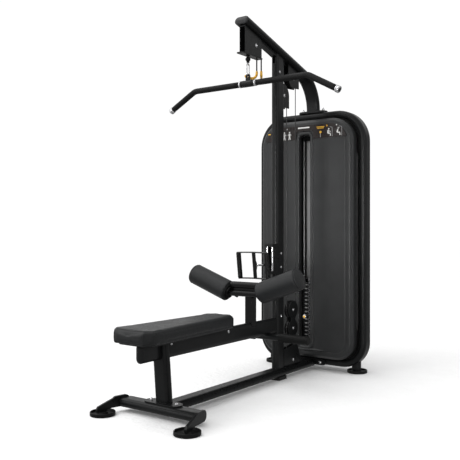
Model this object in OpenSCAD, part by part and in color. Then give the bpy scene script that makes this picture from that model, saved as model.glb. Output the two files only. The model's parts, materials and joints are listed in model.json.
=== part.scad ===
/* [Frame tubes] */
// Long side of the flat-oval frame tube
tube_w = 100; // [90:1:110]
// Short side of the flat-oval frame tube
tube_t = 50; // [46:1:54]
// Wall of the frame tubes
wall = 3; // [2.5:0.5:4]
// Radius of the two decorative grooves on each nose of a tube
groove_r = 1.8; // [1:0.1:2.5]

/* [Base] */
// Distance of the front feet and of the seat's front end from the machine's centre
front_y = -880; // [-900:1:-860]
// Half distance between the front feet
front_foot_x = 292; // [280:1:300]
// Height of the centre line of the base tubes
base_z = 47.5; // [46:0.5:50]
// Radius of a foot disc
foot_r = 68; // [60:1:70]

/* [Seat] */
// Width of the seat pad at its front end
seat_front_w = 288; // [250:1:296]
// Width of the seat pad at its tower end
seat_rear_w = 208; // [180:1:230]
// Length of the seat pad
seat_l = 800; // [760:1:815]
// Height of the top of the seat pad
seat_top_z = 490; // [480:1:500]
// Height of the underside of the seat beam
beam_z = 308; // [306:1:310]

/* [Upright and boom] */
// Position of the upright along the machine
upright_y = 396; // [394:1:398]
// Downward slope of the boom towards the tower, in degrees
boom_slope = 15.75; // [15:0.25:16]
// Height of the boom's centre line at its front end
boom_front_z = 2255; // [2250:1:2260]
// Radius of the bend that takes the boom down to the tower
boom_bend_r = 240; // [220:1:250]

/* [Thigh pads] */
// Tilt of each thigh roller, outer end up, in degrees
roller_tilt = 20; // [15:1:24]
// Radius of a thigh roller
roller_r = 63; // [56:1:64]
// Length of a thigh roller
roller_l = 285; // [250:1:290]

/* [Tower] */
// Position of the tower ring along the machine
tower_y = 870; // [868:1:872]
// Half width of the tower ring
ring_hw = 422; // [415:1:425]
// Height of the top of the tower ring
ring_top_z = 1802; // [1800:1:1804]
// Height of the underside of the tower ring
ring_bottom_z = 35; // [34:1:36]
// Half width of the slot in the front shroud
slot_hw = 43; // [40:1:46]

/* [Weight stack] */
// Number of plates lifted with the pin where it is stored
selected_count = 9; // [4:1:14]
// Number of plates in the stack
plate_count = 18; // [16:1:18]
// Height from one plate to the next
plate_pitch = 27; // [26:0.5:27]
// Thickness of one plate
plate_t = 26; // [24:0.5:26]

/* [Cables and pulleys] */
// Radius of the steel cables
cable_r = 3; // [2.5:0.1:3.2]
// Radius from a large pulley's centre to its cable's centre line
pulley_r = 57; // [56:0.5:57]
// Radius from the rowing pulley's centre to its cable's centre line
row_pulley_r = 40; // [38:0.5:40]

/* [Lat bar and rowing handle] */
// Half length of the straight part of the lat bar
bar_straight = 421; // [400:1:430]
// Half distance between the tips of the lat bar
bar_tip_x = 621; // [605:1:626]
// How far the tips of the lat bar drop below the straight part
bar_drop = 109; // [90:1:120]
// Radius of the lat bar's rubber grips
bar_grip_r = 16; // [14:0.5:17]
// Half distance between the grips of the rowing handle
row_grip_x = 105; // [95:1:107]

/* [Hidden] */
$fn = 48;

// Colours
black_c = [0.16, 0.16, 0.165];
rubber_c = [0.10, 0.10, 0.10];
pad_c = [0.22, 0.23, 0.24];
shroud_c = [0.25, 0.255, 0.26];
chrome_c = [0.78, 0.79, 0.80];
yellow_c = [0.85, 0.65, 0.16];

// Base
cross_y = front_y + 148;
base_top_z = base_z + tube_t / 2;
cross_hl = 262;
splay = 11.3;
foot_h = 20;

// Seat
post_bottom_y = front_y + 162;
post_lean = 5;
post_plate_t = 8;
beam_mid_z = beam_z + tube_w / 2;
beam_top_z = beam_z + tube_w;
beam_front_y = front_y + 103;
beam_rear_y = upright_y - tube_w / 2;
cap_front_y = front_y - 38;
board_t = 8;
pad_bottom_z = beam_top_z + board_t + 0.3;
pad_front_y = front_y - 110;
pad_rear_y = pad_front_y + seat_l;

// Boom: straight, then an arc, then a short vertical leg at the tower
boom_front_y = front_y + 867;
slope_tan = tan(boom_slope);
bend_angle = 90 - boom_slope;
bend_tangent = boom_bend_r * tan(bend_angle / 2);
corner_z = boom_front_z - slope_tan * (tower_y - boom_front_y);
bend_start_y = tower_y - bend_tangent * cos(boom_slope);
bend_end_z = corner_z - bend_tangent;
straight_l = (bend_start_y - boom_front_y) / cos(boom_slope);
mount_plate_t = 14;
mount_top_z = ring_top_z + mount_plate_t;
function boom_under(y) = boom_front_z - slope_tan * (y - boom_front_y) - tube_t / 2 / cos(boom_slope);

// Pulleys: [y, z] of each centre
housing_hw = 22;
housing_t = 4;
bracket_in = 14;
bracket_out = 18;
pulley_w = 20;
axle_r = 6;
flange_h = 4;
front_p = [110, 2125];
rear_p = [563, front_p[1] - slope_tan * (563 - front_p[0])];
block_up_p = [563, 440];
block_low_p = [563, 317];
lower_p = [563, 105];
front_strand_y = rear_p[0] - pulley_r;
rear_strand_y = rear_p[0] + pulley_r;
upright_p = [front_strand_y - pulley_r, 1866];
inner_strand_y = upright_p[0] - pulley_r;
row_p = [inner_strand_y - row_pulley_r, 797];
row_z = row_p[1] - row_pulley_r;
tower_low_r = 30;
back_strand_y = tower_y + 85;
tower_low_p = [back_strand_y - tower_low_r, lower_p[1] - pulley_r + tower_low_r];
tower_top_r = (back_strand_y - tower_y) / 2;
tower_top_p = [tower_y + tower_top_r, 1690];
lat_y = front_p[0] - pulley_r;
anchor_z = 192;

// Weight stack
stack_z = ring_bottom_z + tube_t + 32;
stack_hw = 130;
stack_hd = 55;
rod_x = 75;
rod_r = 12.5;
fixed_count = plate_count - selected_count;
stack_top_z = stack_z + plate_count * plate_pitch;
head_t = 28;
pin_z = stack_z + (fixed_count + 0.5) * plate_pitch - (plate_pitch - plate_t) / 2;
shroud_y = tower_y - 120;

// Thigh rollers: the shaft's line starts at the inner end of the roller
roller_y = front_y + 896;
roller_in_x = 118;
roller_in_z = 599;
shaft_r = 12;
pad_post_y = front_y + 962;
pad_post_w = 50;

// Lat bar and rowing handle
bar_z = 1881;
bar_core_r = 12.5;
sleeve_r = 19;
sleeve_hl = 50;
row_y = front_y + 982;
row_top_z = 838;
row_bottom_z = 669;
row_grip_r = 13.5;
link_hl = 36;
link_hw = 13;
link_r = 4.5;
link_z = 1966;
shank_z = 2008;
ball_z = 2031;
row_apex = 34;
row_lean = 7.5;
row_bow = 14;
row_eye_y = row_y + row_apex;
row_link_y = row_eye_y + 3 + link_hl;
row_shank_y = row_link_y + link_hl + 8;
row_ball_y = row_shank_y + 45;

// ---- Helpers ----

// Flat oval, w along X and t along Y
module oval(w, t) {
    square([w - t, t], center = true);
    for (s = [-1, 1])
        translate([s * (w - t) / 2, 0])
            circle(d = t);
}

// Wall of the frame tube, with two grooves on each nose
module tube_section() {
    difference() {
        oval(tube_w, tube_t);
        oval(tube_w - 2 * wall, tube_t - 2 * wall);
        for (s = [-1, 1])
            for (a = [-36, 36])
                translate([s * (tube_w - tube_t) / 2, 0])
                    rotate(a)
                        translate([s * tube_t / 2, 0])
                            circle(r = groove_r, $fn = 16);
    }
}

// Draws a section given in X and Z, from y0 to y1
module along_y(y0, y1) {
    translate([0, y1, 0])
        rotate([90, 0, 0])
            linear_extrude(y1 - y0)
                children();
}

// Draws a section given in Y and Z, from x0 to x1
module along_x(x0, x1) {
    translate([x0, 0, 0])
        rotate([90, 0, 90])
            linear_extrude(x1 - x0)
                children();
}

// A pair of plates given in Y and Z, with faces at x_in and x_out on each side
module plate_pair(x_in, x_out) {
    along_x(x_in, x_out)
        children();
    along_x(-x_out, -x_in)
        children();
}

// A round bar along X
module bar_x(x0, x1, y, z, r) {
    translate([x0, y, z])
        rotate([0, 90, 0])
            cylinder(r = r, h = x1 - x0);
}

// A round bar along Y
module bar_y(y0, y1, x, z, r) {
    translate([x, y1, z])
        rotate([90, 0, 0])
            cylinder(r = r, h = y1 - y0);
}

// Cable along Y and Z between two points in the plane x = 0
module cable(p, q) {
    l = norm(q - p);
    translate([0, p[0], p[1]])
        rotate([atan2(q[1] - p[1], q[0] - p[0]), 0, 0])
            rotate([-90, 0, 0])
                cylinder(r = cable_r, h = l, $fn = 24);
}

// Cable wrapped on a pulley at p, from angle a to angle a + sweep seen from +X
module wrap(p, r, a, sweep) {
    translate([0, p[0], p[1]])
        rotate([90, 0, 90])
            rotate([0, 0, a])
                rotate_extrude(angle = sweep, $fn = 72)
                    translate([r, 0])
                        circle(r = cable_r, $fn = 24);
}

// Grooved pulley with bearing hub and recessed web, at p in the plane x = 0
module pulley(p, r) {
    hub_r = 14;
    rim_in = r - 12;
    web = 5;
    translate([0, p[0], p[1]])
        rotate([0, 90, 0])
            rotate_extrude($fn = 72)
                polygon([
                    [axle_r + 0.06, -pulley_w / 2], [hub_r, -pulley_w / 2], [hub_r, -web],
                    [rim_in, -web], [rim_in, 3 - pulley_w / 2], [r + flange_h, 3 - pulley_w / 2],
                    [r + flange_h, 5 - pulley_w / 2], [r - cable_r - 0.4, -cable_r - 0.5],
                    [r - cable_r - 0.4, cable_r + 0.5], [r + flange_h, pulley_w / 2 - 5],
                    [r + flange_h, pulley_w / 2 - 3], [rim_in, pulley_w / 2 - 3],
                    [rim_in, web], [hub_r, web], [hub_r, pulley_w / 2],
                    [axle_r + 0.06, pulley_w / 2]
                ]);
}

// Pulley axle: a bolt with a head and a nut outside faces at x = +-hw
module axle(p, hw) {
    bar_x(-hw, hw, p[0], p[1], axle_r);
    bar_x(hw, hw + 6, p[0], p[1], 10);
    bar_x(-hw - 6, -hw, p[0], p[1], 10);
}

// Bolt head on a face at x = +-hw on both sides
module side_bolts(hw, y, z) {
    for (s = [-1, 1])
        bar_x(min(s * hw, s * (hw + 5)), max(s * hw, s * (hw + 5)), y, z, 8);
}

// Moves a shape drawn along +Z to the boom's centre line at its front end
module on_boom() {
    translate([0, boom_front_y, boom_front_z])
        rotate([-90 - boom_slope, 0, 0])
            children();
}

// ---- Base ----

module front_cross_tube() {
    color(black_c) {
        // closing plates inside the open ends
        for (s = [-1, 1])
            translate([0, cross_y, base_z])
                along_x(s * 240 - 2, s * 240 + 2)
                    oval(tube_w - 2 * wall + 0.5, tube_t - 2 * wall + 0.5);
        difference() {
            translate([0, cross_y, base_z])
                along_x(-cross_hl - 12, cross_hl + 12)
                    tube_section();
            // ends cut to meet the splayed brackets
            for (s = [0, 1])
                mirror([s, 0, 0])
                    translate([cross_hl + 1.2, cross_y, 0])
                        rotate([0, 0, splay])
                            translate([0, -100, 0])
                                cube([60, 200, 100]);
        }
    }
}

module foot_bracket() {
    thick = 14;
    translate([cross_hl + 1.5, cross_y, 0])
        rotate([0, 0, splay])
            along_x(0, thick)
                difference() {
                    union() {
                        translate([-5, 55])
                            circle(r = 30);
                        translate([-60, 56])
                            circle(r = 29);
                        polygon([[-5, 25], [-5, 85], [-60, 85], [-88, 74], [-176, 46], [-184, 34],
                                 [-184, foot_h - 3], [-122, foot_h - 3], [-100, 27]]);
                    }
                    translate([-112, foot_h - 10])
                        circle(r = 16);
                }
}

module front_foot_brackets() {
    color(black_c) {
        foot_bracket();
        mirror([1, 0, 0])
            foot_bracket();
    }
}

module foot_disc(x, y) {
    rim_t = 6;
    translate([x, y, 0])
        rotate_extrude($fn = 72)
            polygon([
                [0, 0], [foot_r - 2, 0], [foot_r, 2], [foot_r, foot_h - 2], [foot_r - 2, foot_h],
                [foot_r - rim_t, foot_h], [foot_r - rim_t - 3, 9], [30, 9], [26, foot_h - 3], [0, foot_h - 3]
            ]);
}

module rubber_feet() {
    color(rubber_c) {
        for (s = [-1, 1]) {
            foot_disc(s * front_foot_x, front_y);
            foot_disc(s * 331, tower_y + 20);
        }
        translate([-40, upright_y - 45, 0])
            cube([80, 90, base_z - tube_t / 2]);
    }
}

module base_beam() {
    y0 = cross_y + tube_w / 2;
    y1 = tower_y - tube_w / 2;
    flange_t = 12;
    color(black_c)
        difference() {
            union() {
                translate([0, 0, base_z])
                    along_y(y0, y1 - flange_t)
                        tube_section();
                translate([0, 0, 56])
                    along_y(y1 - flange_t, y1)
                        oval(260, 42);
            }
            translate([-12, lower_p[0] - 66, base_z])
                cube([24, 132, 40]);
            bar_y(y1 - 20, y1 + 1, 0, lower_p[1] - pulley_r, 9);
        }
}

// ---- Seat ----

module seat_beam() {
    color(black_c)
        translate([0, 0, beam_mid_z])
            along_y(beam_front_y, beam_rear_y)
                rotate(90)
                    tube_section();
}

module seat_post() {
    plate_hl = 120;
    color(black_c) {
        difference() {
            translate([0, post_bottom_y, base_top_z + post_plate_t])
                rotate([post_lean, 0, 0])
                    translate([0, 0, -5])
                        linear_extrude(345)
                            tube_section();
            translate([-100, post_bottom_y - 60, base_top_z - 20])
                cube([200, 120, 20 + post_plate_t]);
            translate([0, 0, beam_mid_z])
                along_y(post_bottom_y - 90, post_bottom_y + 90)
                    rotate(90)
                        oval(tube_w + 0.4, tube_t + 0.4);
            translate([-100, post_bottom_y - 90, beam_top_z])
                cube([200, 180, 60]);
        }
        translate([0, cross_y + 7, base_top_z])
            linear_extrude(post_plate_t)
                difference() {
                    oval(2 * plate_hl, 82);
                    for (s = [-1, 1])
                        translate([s * (plate_hl - 32), 4])
                            circle(r = 6);
                }
    }
}

module seat_beam_end_cap() {
    color(rubber_c)
        translate([0, 0, beam_mid_z])
            difference() {
                along_y(cap_front_y, beam_front_y)
                    rotate(90)
                        oval(tube_w, tube_t);
                along_y(cap_front_y + 6, beam_front_y + 1)
                    rotate(90)
                        oval(tube_w - 8, tube_t - 8);
            }
}

module pad_outline(inset) {
    front = seat_front_w / 2 - inset;
    rear = seat_rear_w / 2 - inset;
    r = 10;
    cut = 42 - inset / 4;
    y0 = pad_front_y + inset;
    y1 = pad_rear_y - inset;
    hull() {
        for (s = [-1, 1])
            for (p = [[front - cut, y0 + r], [front - r, y0 + cut],
                      [rear - r, y1 - cut], [rear - cut, y1 - r]])
                translate([s * p[0], p[1]])
                    circle(r = r, $fn = 32);
    }
}

module seat_board() {
    color(black_c)
        translate([0, 0, beam_top_z])
            linear_extrude(board_t)
                pad_outline(28);
}

module seat_pad() {
    color(pad_c)
        translate([0, 0, pad_bottom_z])
            linear_extrude(seat_top_z - pad_bottom_z)
                pad_outline(0);
}

// ---- Upright, boom and their brackets ----

module upright() {
    slot_hw_row = 12.5;
    color(black_c)
        difference() {
            translate([0, upright_y, base_top_z])
                linear_extrude(2160 - base_top_z)
                    rotate(90)
                        tube_section();
            // slanted top, under the boom
            on_boom()
                translate([-60, tube_t / 2 - 200, 200])
                    cube([120, 200, 500]);
            // cable passage at the top
            translate([-9, upright_y - 60, boom_under(upright_y) - 50])
                cube([18, 120, 60]);
            // slot for the upright's pulley
            translate([-bracket_out - 0.5, upright_y, upright_p[1] - 85])
                cube([2 * bracket_out + 1, 60, 170]);
            // slot for the rowing pulley
            translate([-slot_hw_row, upright_y - 60, row_p[1] - 52])
                cube([2 * slot_hw_row, 60, 104]);
            bar_x(-40, 40, row_p[0], row_p[1], axle_r);
        }
}

module boom() {
    color(black_c) {
        on_boom()
            linear_extrude(straight_l)
                tube_section();
        translate([0, tower_y - boom_bend_r, bend_end_z])
            rotate([90, 0, 90])
                rotate_extrude(angle = bend_angle, $fn = 96)
                    translate([boom_bend_r, 0])
                        rotate(90)
                            tube_section();
        translate([0, tower_y, mount_top_z])
            linear_extrude(bend_end_z - mount_top_z)
                tube_section();
        translate([0, tower_y, ring_top_z])
            linear_extrude(mount_plate_t)
                oval(216, 96);
    }
}

module boom_end_cap() {
    color(rubber_c)
        on_boom() {
            translate([0, 0, -5])
                linear_extrude(5)
                    oval(tube_w, tube_t);
            linear_extrude(18)
                difference() {
                    oval(tube_w - 2 * wall - 0.6, tube_t - 2 * wall - 0.6);
                    oval(tube_w - 2 * wall - 8, tube_t - 2 * wall - 8);
                }
        }
}

// Grooved channel that carries the cable under the boom
module boom_rail() {
    depth = 21;
    hw = 20;
    y0 = front_p[0] + 63;
    y1 = upright_y - tube_w / 2;
    s0 = (y0 - boom_front_y) / cos(boom_slope);
    s1 = (y1 - boom_front_y) / cos(boom_slope);
    color(black_c)
        difference() {
            on_boom()
                translate([0, 0, s0 - 20])
                    linear_extrude(s1 - s0 + 40)
                        translate([0, tube_t / 2])
                            difference() {
                                translate([-hw, 0])
                                    square([2 * hw, depth]);
                                translate([3 - hw, -1])
                                    square([2 * hw - 6, depth - 3]);
                                for (s = [-1, 1])
                                    for (k = [1, 2])
                                        translate([s * hw, k * depth / 3])
                                            circle(r = 2, $fn = 16);
                            }
            translate([-50, y0 - 100, 1900])
                cube([100, 100, 400]);
            translate([0, upright_y, 1900])
                linear_extrude(400)
                    rotate(90)
                        oval(tube_w + 0.4, tube_t + 0.4);
        }
}

// Outline of the front housing in Y and Z
module housing_outline() {
    y0 = front_p[0] - 116;
    y1 = front_p[0] + 62.5;
    polygon([[y0, 2060], [y1, 2060], [y1, boom_under(y1)], [y0, boom_under(y0)]]);
}

module pulley_housing() {
    y0 = front_p[0] - 116;
    y1 = front_p[0] - 72;
    web_t = 8;
    color(black_c) {
        difference() {
            plate_pair(housing_hw - housing_t, housing_hw)
                housing_outline();
            bar_x(-30, 30, front_p[0], front_p[1], axle_r);
        }
        // top web between the plates, above the pulley, left open for the wheel
        along_x(housing_t - housing_hw, housing_hw - housing_t)
            polygon([
                [y0, boom_under(y0) - web_t], [y1, boom_under(y1) - web_t],
                [y1, boom_under(y1)], [y0, boom_under(y0)]
            ]);
    }
}

// One hook: a rod down, a bend, a run turned outwards and a raised tip
module hook(x, turn, z_low) {
    r = 4.5;
    bend = 34;
    run = 30;
    rise = 12;
    translate([x, lat_y + 120, 0])
        rotate([0, 0, turn]) {
            translate([0, 0, z_low + bend])
                cylinder(r = r, h = 2052.5 - z_low - bend);
            translate([0, -bend, z_low + bend])
                rotate([90, 0, 90])
                    rotate([0, 0, -90])
                        rotate_extrude(angle = 90)
                            translate([bend, 0])
                                circle(r = r, $fn = 24);
            bar_y(-bend - run, -bend, 0, z_low, r);
            translate([0, -bend - run, z_low])
                sphere(r = r + 0.8);
            translate([0, -bend - run, z_low])
                rotate([45, 0, 0])
                    cylinder(r = r, h = 1.4 * rise);
            translate([0, -bend - run - rise, z_low + rise])
                sphere(r = r + 2);
        }
}

module bar_hooks() {
    color(black_c) {
        hook(-16, -34, 1934);
        hook(18, 34, 1931);
        // plate under the housing that guides the cable and carries the hooks
        difference() {
            translate([-23, front_p[0] - 148, 2052.5])
                cube([46, 223, 7]);
            translate([0, lat_y, 2050])
                cylinder(r = 6, h = 12);
        }
    }
}

module rear_pulley_bracket() {
    y0 = rear_p[0] - 65;
    y1 = rear_p[0] + 69.5;
    color(black_c)
        difference() {
            plate_pair(bracket_in + 2, bracket_out + 3) {
                translate([rear_p[0], rear_p[1]])
                    circle(r = 65);
                polygon([[y0, rear_p[1]], [y0, boom_under(y0)], [y1, boom_under(y1)],
                         [y1, rear_p[1] - 60], [rear_p[0], rear_p[1] - 65]]);
            }
            bar_x(-30, 30, rear_p[0], rear_p[1], axle_r);
        }
}

module upright_pulley_bracket() {
    color(black_c)
        difference() {
            plate_pair(bracket_in, bracket_out) {
                translate([upright_p[0] - 20, upright_p[1] - 78])
                    square([81, 78]);
                intersection() {
                    translate([upright_p[0] - 20, upright_p[1]])
                        circle(r = 81);
                    translate([upright_p[0] - 20, upright_p[1] - 1])
                        square([81, 90]);
                }
            }
            bar_x(-30, 30, upright_p[0], upright_p[1], axle_r);
        }
}

module lower_pulley_bracket() {
    y0 = upright_y + tube_w / 2;
    color(black_c) {
        difference() {
            plate_pair(bracket_in, bracket_out)
                polygon([
                    [y0, base_top_z], [y0, 184], [y0 + 20, 188], [rear_strand_y - 40, 204],
                    [rear_strand_y - 4, 204], [rear_strand_y + 40, 104],
                    [rear_strand_y + 40, base_top_z]
                ]);
            bar_x(-30, 30, lower_p[0], lower_p[1], axle_r);
        }
        // block that holds the end of the stack's cable
        translate([-bracket_in, rear_strand_y - 9, anchor_z - 18])
            cube([2 * bracket_in, 18, 18]);
    }
}

module row_guide_block() {
    y_front = 286;
    y_back = upright_y - 26;
    color(black_c)
        difference() {
            union() {
                for (z = [row_z - 62, row_z + 113])
                    translate([-30, y_front, z])
                        cube([60, y_back - y_front, 18]);
                for (s = [-1, 1])
                    translate([s * 27.5 - 2.2, y_front + 26, row_z - 62])
                        cube([4.4, y_back - y_front - 26, 193]);
            }
            translate([0, upright_y, row_z - 80])
                linear_extrude(240)
                    rotate(90)
                        oval(tube_w + 0.4, tube_t + 0.4);
            for (s = [-1, 1])
                translate([s * 19, y_front + 14, row_z - 52])
                    cylinder(r = 3.06, h = 173);
            bar_x(-40, 40, row_p[0], row_p[1], axle_r);
        }
}

module guide_roller(s) {
    y = 300;
    color(chrome_c) {
        translate([s * 19, y, row_z - 43])
            cylinder(r = 6, h = 155);
        translate([s * 19, y, row_z - 50])
            cylinder(r = 3, h = 169);
    }
}

module left_guide_roller() {
    guide_roller(-1);
}

module right_guide_roller() {
    guide_roller(1);
}

module foot_rest_bar() {
    color(black_c)
        difference() {
            bar_x(-300, 300, 270, 296, 21);
            translate([0, 0, beam_mid_z])
                along_y(200, 340)
                    rotate(90)
                        oval(tube_w, tube_t);
        }
}

module foot_rest_grips() {
    color(rubber_c)
        for (s = [0, 1])
            mirror([s, 0, 0])
                difference() {
                    union() {
                        bar_x(95, 300, 270, 296, 27.5);
                        translate([300, 270, 296])
                            rotate([0, 90, 0])
                                cylinder(r1 = 27.5, r2 = 22, h = 5);
                    }
                    bar_x(90, 300, 270, 296, 21);
                }
}

// ---- Thigh pads ----

// Puts children on the right roller's shaft line: X along the shaft, outwards
module on_shaft() {
    translate([roller_in_x, roller_y, roller_in_z])
        rotate([0, -roller_tilt, 0])
            children();
}

module shaft() {
    on_shaft()
        rotate([0, 90, 0])
            translate([0, 0, -70])
                cylinder(r = shaft_r, h = roller_l + 60);
}

module pad_frame() {
    cross_l = 96;
    color(black_c) {
        difference() {
            translate([0, pad_post_y, 0])
                linear_extrude(640)
                    difference() {
                        square(pad_post_w, center = true);
                        square(pad_post_w - 2 * wall, center = true);
                    }
            translate([0, 0, beam_mid_z])
                along_y(pad_post_y - 60, pad_post_y + 60)
                    rotate(90)
                        oval(tube_w, tube_t);
            translate([-60, pad_post_y - 60, -1])
                cube([120, 120, beam_mid_z]);
        }
        translate([-pad_post_w / 2, pad_post_y - pad_post_w / 2, 640])
            cube([pad_post_w, pad_post_w, 4]);
        // two round tubes in front of the post carry the roller shafts
        bar_x(-cross_l, cross_l, roller_y, 643, 20);
        bar_x(-cross_l, cross_l, roller_y, 592, 20);
        translate([4 - cross_l, roller_y - 3, 605])
            cube([2 * cross_l - 8, 6, 25]);
        translate([-22, roller_y + 8, 575])
            cube([44, pad_post_y - pad_post_w / 2 - roller_y - 8, 80]);
        for (s = [0, 1])
            mirror([s, 0, 0]) {
                shaft();
                // plate that joins the two tubes to the shaft
                on_shaft()
                    rotate([0, 90, 0])
                        translate([0, 0, -14])
                            cylinder(r = 40, h = 8);
            }
    }
}

module roller() {
    on_shaft()
        rotate([0, 90, 0])
            difference() {
                union() {
                    cylinder(r = roller_r - 4, h = 4);
                    translate([0, 0, 4])
                        cylinder(r = roller_r, h = roller_l - 8);
                    translate([0, 0, roller_l - 4])
                        cylinder(r1 = roller_r, r2 = roller_r - 12, h = 8);
                }
                translate([0, 0, -1])
                    cylinder(r = shaft_r + 0.06, h = roller_l - 4);
            }
}

module right_roller() {
    color(pad_c)
        roller();
}

module left_roller() {
    color(pad_c)
        mirror([1, 0, 0])
            roller();
}

// ---- Tower ----

// Ring path in X and Z: straight legs joined by quarter bends
module ring_path() {
    top_r = 195;
    low_r = 155;
    mid_hw = ring_hw - tube_t / 2;
    top_z = ring_top_z - tube_t / 2;
    low_z = ring_bottom_z + tube_t / 2;
    translate([0, tower_y, 0]) {
        for (s = [-1, 1])
            translate([s * mid_hw, 0, low_z + low_r])
                linear_extrude(top_z - top_r - low_z - low_r)
                    rotate(90)
                        children();
        for (s = [0, 1])
            mirror([s, 0, 0]) {
                translate([mid_hw - top_r, 0, top_z - top_r])
                    rotate([90, 0, 0])
                        rotate_extrude(angle = 90, $fn = 96)
                            translate([top_r, 0])
                                rotate(90)
                                    children();
                translate([mid_hw - low_r, 0, low_z + low_r])
                    rotate([90, 0, 0])
                        rotate_extrude(angle = -90, $fn = 96)
                            translate([low_r, 0])
                                rotate(90)
                                    children();
            }
        translate([top_r - mid_hw, 0, top_z])
            rotate([90, 0, 90])
                linear_extrude(2 * (mid_hw - top_r))
                    children();
        translate([low_r - mid_hw, 0, low_z])
            rotate([90, 0, 90])
                linear_extrude(2 * (mid_hw - low_r))
                    children();
    }
}

module tower_ring() {
    foot_x = 331;
    color(black_c) {
        difference() {
            ring_path()
                tube_section();
            bar_y(tower_y - 60, tower_y + 60, 0, lower_p[1] - pulley_r, 9);
            translate([-13, tower_low_p[0] - 38, 30])
                cube([26, 60, 70]);
        }
        // short legs that stand on the rear feet
        for (s = [-1, 1])
            difference() {
                translate([s * foot_x, tower_y + 10, foot_h - 3])
                    linear_extrude(90)
                        oval(64, 50);
                ring_path()
                    oval(tube_w, tube_t);
                translate([s * (foot_x - 60) - 40, tower_y - 60, 66])
                    cube([80, 120, 60]);
            }
    }
}

// Rounded panel outline in X and Z
module panel_outline(hw, z0, z1, r_top, r_low) {
    for (s = [-1, 1]) {
        translate([s * (hw - r_top), z1 - r_top])
            circle(r = r_top, $fn = 96);
        translate([s * (hw - r_low), z0 + r_low])
            circle(r = r_low, $fn = 96);
    }
    translate([r_top - hw, z1 - 2 * r_top])
        square([2 * (hw - r_top), 2 * r_top]);
    translate([r_low - hw, z0])
        square([2 * (hw - r_low), 2 * r_low]);
    translate([-hw, z0 + r_low])
        square([2 * hw, z1 - z0 - r_low - r_top]);
}

// Outline of the slot in X and Z, grown by a margin
module slot_outline(margin) {
    r = 20;
    z0 = 172 - margin;
    z1 = 1640 + margin;
    hw = slot_hw + margin;
    panel_outline(hw, z0, z1, r, r);
}

module front_shroud() {
    skin = 4;
    hw = ring_hw - tube_t - 10;
    z0 = ring_bottom_z + tube_t + 8;
    z1 = ring_top_z - tube_t - 8;
    step = 14;
    rear_y = tower_y - 26;
    color(shroud_c)
        difference() {
            union() {
                difference() {
                    union() {
                        along_y(shroud_y + step, rear_y)
                            panel_outline(hw, z0, z1, 166, 126);
                        along_y(shroud_y, shroud_y + step)
                            panel_outline(hw - 12, z0 + 12, z1 - 12, 154, 114);
                    }
                    along_y(shroud_y + skin, rear_y + 1)
                        panel_outline(hw - 16, z0 + 16, z1 - 16, 150, 110);
                    along_y(shroud_y + step + skin, rear_y + 1)
                        panel_outline(hw - skin, z0 + skin, z1 - skin, 162, 122);
                }
                // bead around the slot, and its return lip
                along_y(shroud_y - 8, shroud_y + skin)
                    slot_outline(22);
                along_y(shroud_y, shroud_y + 36)
                    slot_outline(skin);
            }
            along_y(shroud_y - 20, shroud_y + 50)
                slot_outline(0);
        }
}

module rear_shroud() {
    skin = 4;
    hw = ring_hw - tube_t - 8;
    z0 = ring_bottom_z + tube_t + 6;
    z1 = ring_top_z - tube_t - 6;
    front = tower_y + 20;
    back = -front_y + 110;
    color(shroud_c)
        difference() {
            along_y(front, back)
                panel_outline(hw, z0, z1, 160, 120);
            along_y(front - 1, back - skin)
                panel_outline(hw - skin, z0 + skin, z1 - skin, 156, 116);
            translate([-13, front - 1, z0 - 1])
                cube([26, 80, skin + 2]);
        }
}

module guide_rods() {
    color(chrome_c)
        for (s = [-1, 1])
            translate([s * rod_x, tower_y, ring_bottom_z + tube_t])
                cylinder(r = rod_r, h = ring_top_z - ring_bottom_z - 2 * tube_t);
}

module tower_top_bracket() {
    clamp_z = 1612;
    clamp_h = 30;
    top_z = ring_top_z - tube_t;
    low_z = top_z - 14;
    rear_y = tower_y + 19;
    color(black_c) {
        difference() {
            plate_pair(bracket_in, bracket_out)
                polygon([
                    [tower_y - 25, top_z], [rear_y, top_z], [rear_y, low_z], [tower_top_p[0] + 38, low_z],
                    [tower_top_p[0] + 38, tower_top_p[1] - 22], [tower_top_p[0] - 40, tower_top_p[1] - 22],
                    [tower_y - 25, low_z]
                ]);
            bar_x(-30, 30, tower_top_p[0], tower_top_p[1], axle_r);
        }
        // clamp block between the rods at their tops
        difference() {
            translate([-rod_x - 24, tower_y - 20, clamp_z])
                cube([2 * rod_x + 48, 14, clamp_h]);
            for (s = [-1, 1])
                translate([s * rod_x, tower_y, clamp_z - 1])
                    cylinder(r = rod_r, h = clamp_h + 2);
        }
    }
}

module plate(z) {
    hole_r = rod_r + 2;
    translate([0, tower_y, z])
        difference() {
            linear_extrude(plate_t)
                difference() {
                    square([2 * stack_hw, 2 * stack_hd], center = true);
                    for (s = [-1, 1])
                        translate([s * rod_x, 0])
                            circle(r = hole_r);
                    circle(r = 13);
                }
            translate([0, 0, plate_t / 2])
                rotate([90, 0, 0])
                    cylinder(r = 5.5, h = stack_hd + 1);
        }
}

module fixed_plates() {
    color(black_c)
        for (k = [0:fixed_count - 1])
            plate(stack_z + k * plate_pitch);
}

module selected_plates() {
    color(black_c)
        for (k = [fixed_count:plate_count - 1])
            plate(stack_z + k * plate_pitch);
}

module stack_cushions() {
    color(rubber_c)
        for (s = [-1, 1])
            translate([s * rod_x, tower_y, ring_bottom_z + tube_t])
                difference() {
                    cylinder(r = 19, h = stack_z - ring_bottom_z - tube_t);
                    translate([0, 0, -1])
                        cylinder(r = rod_r + 0.3, h = 40);
                }
}

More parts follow.
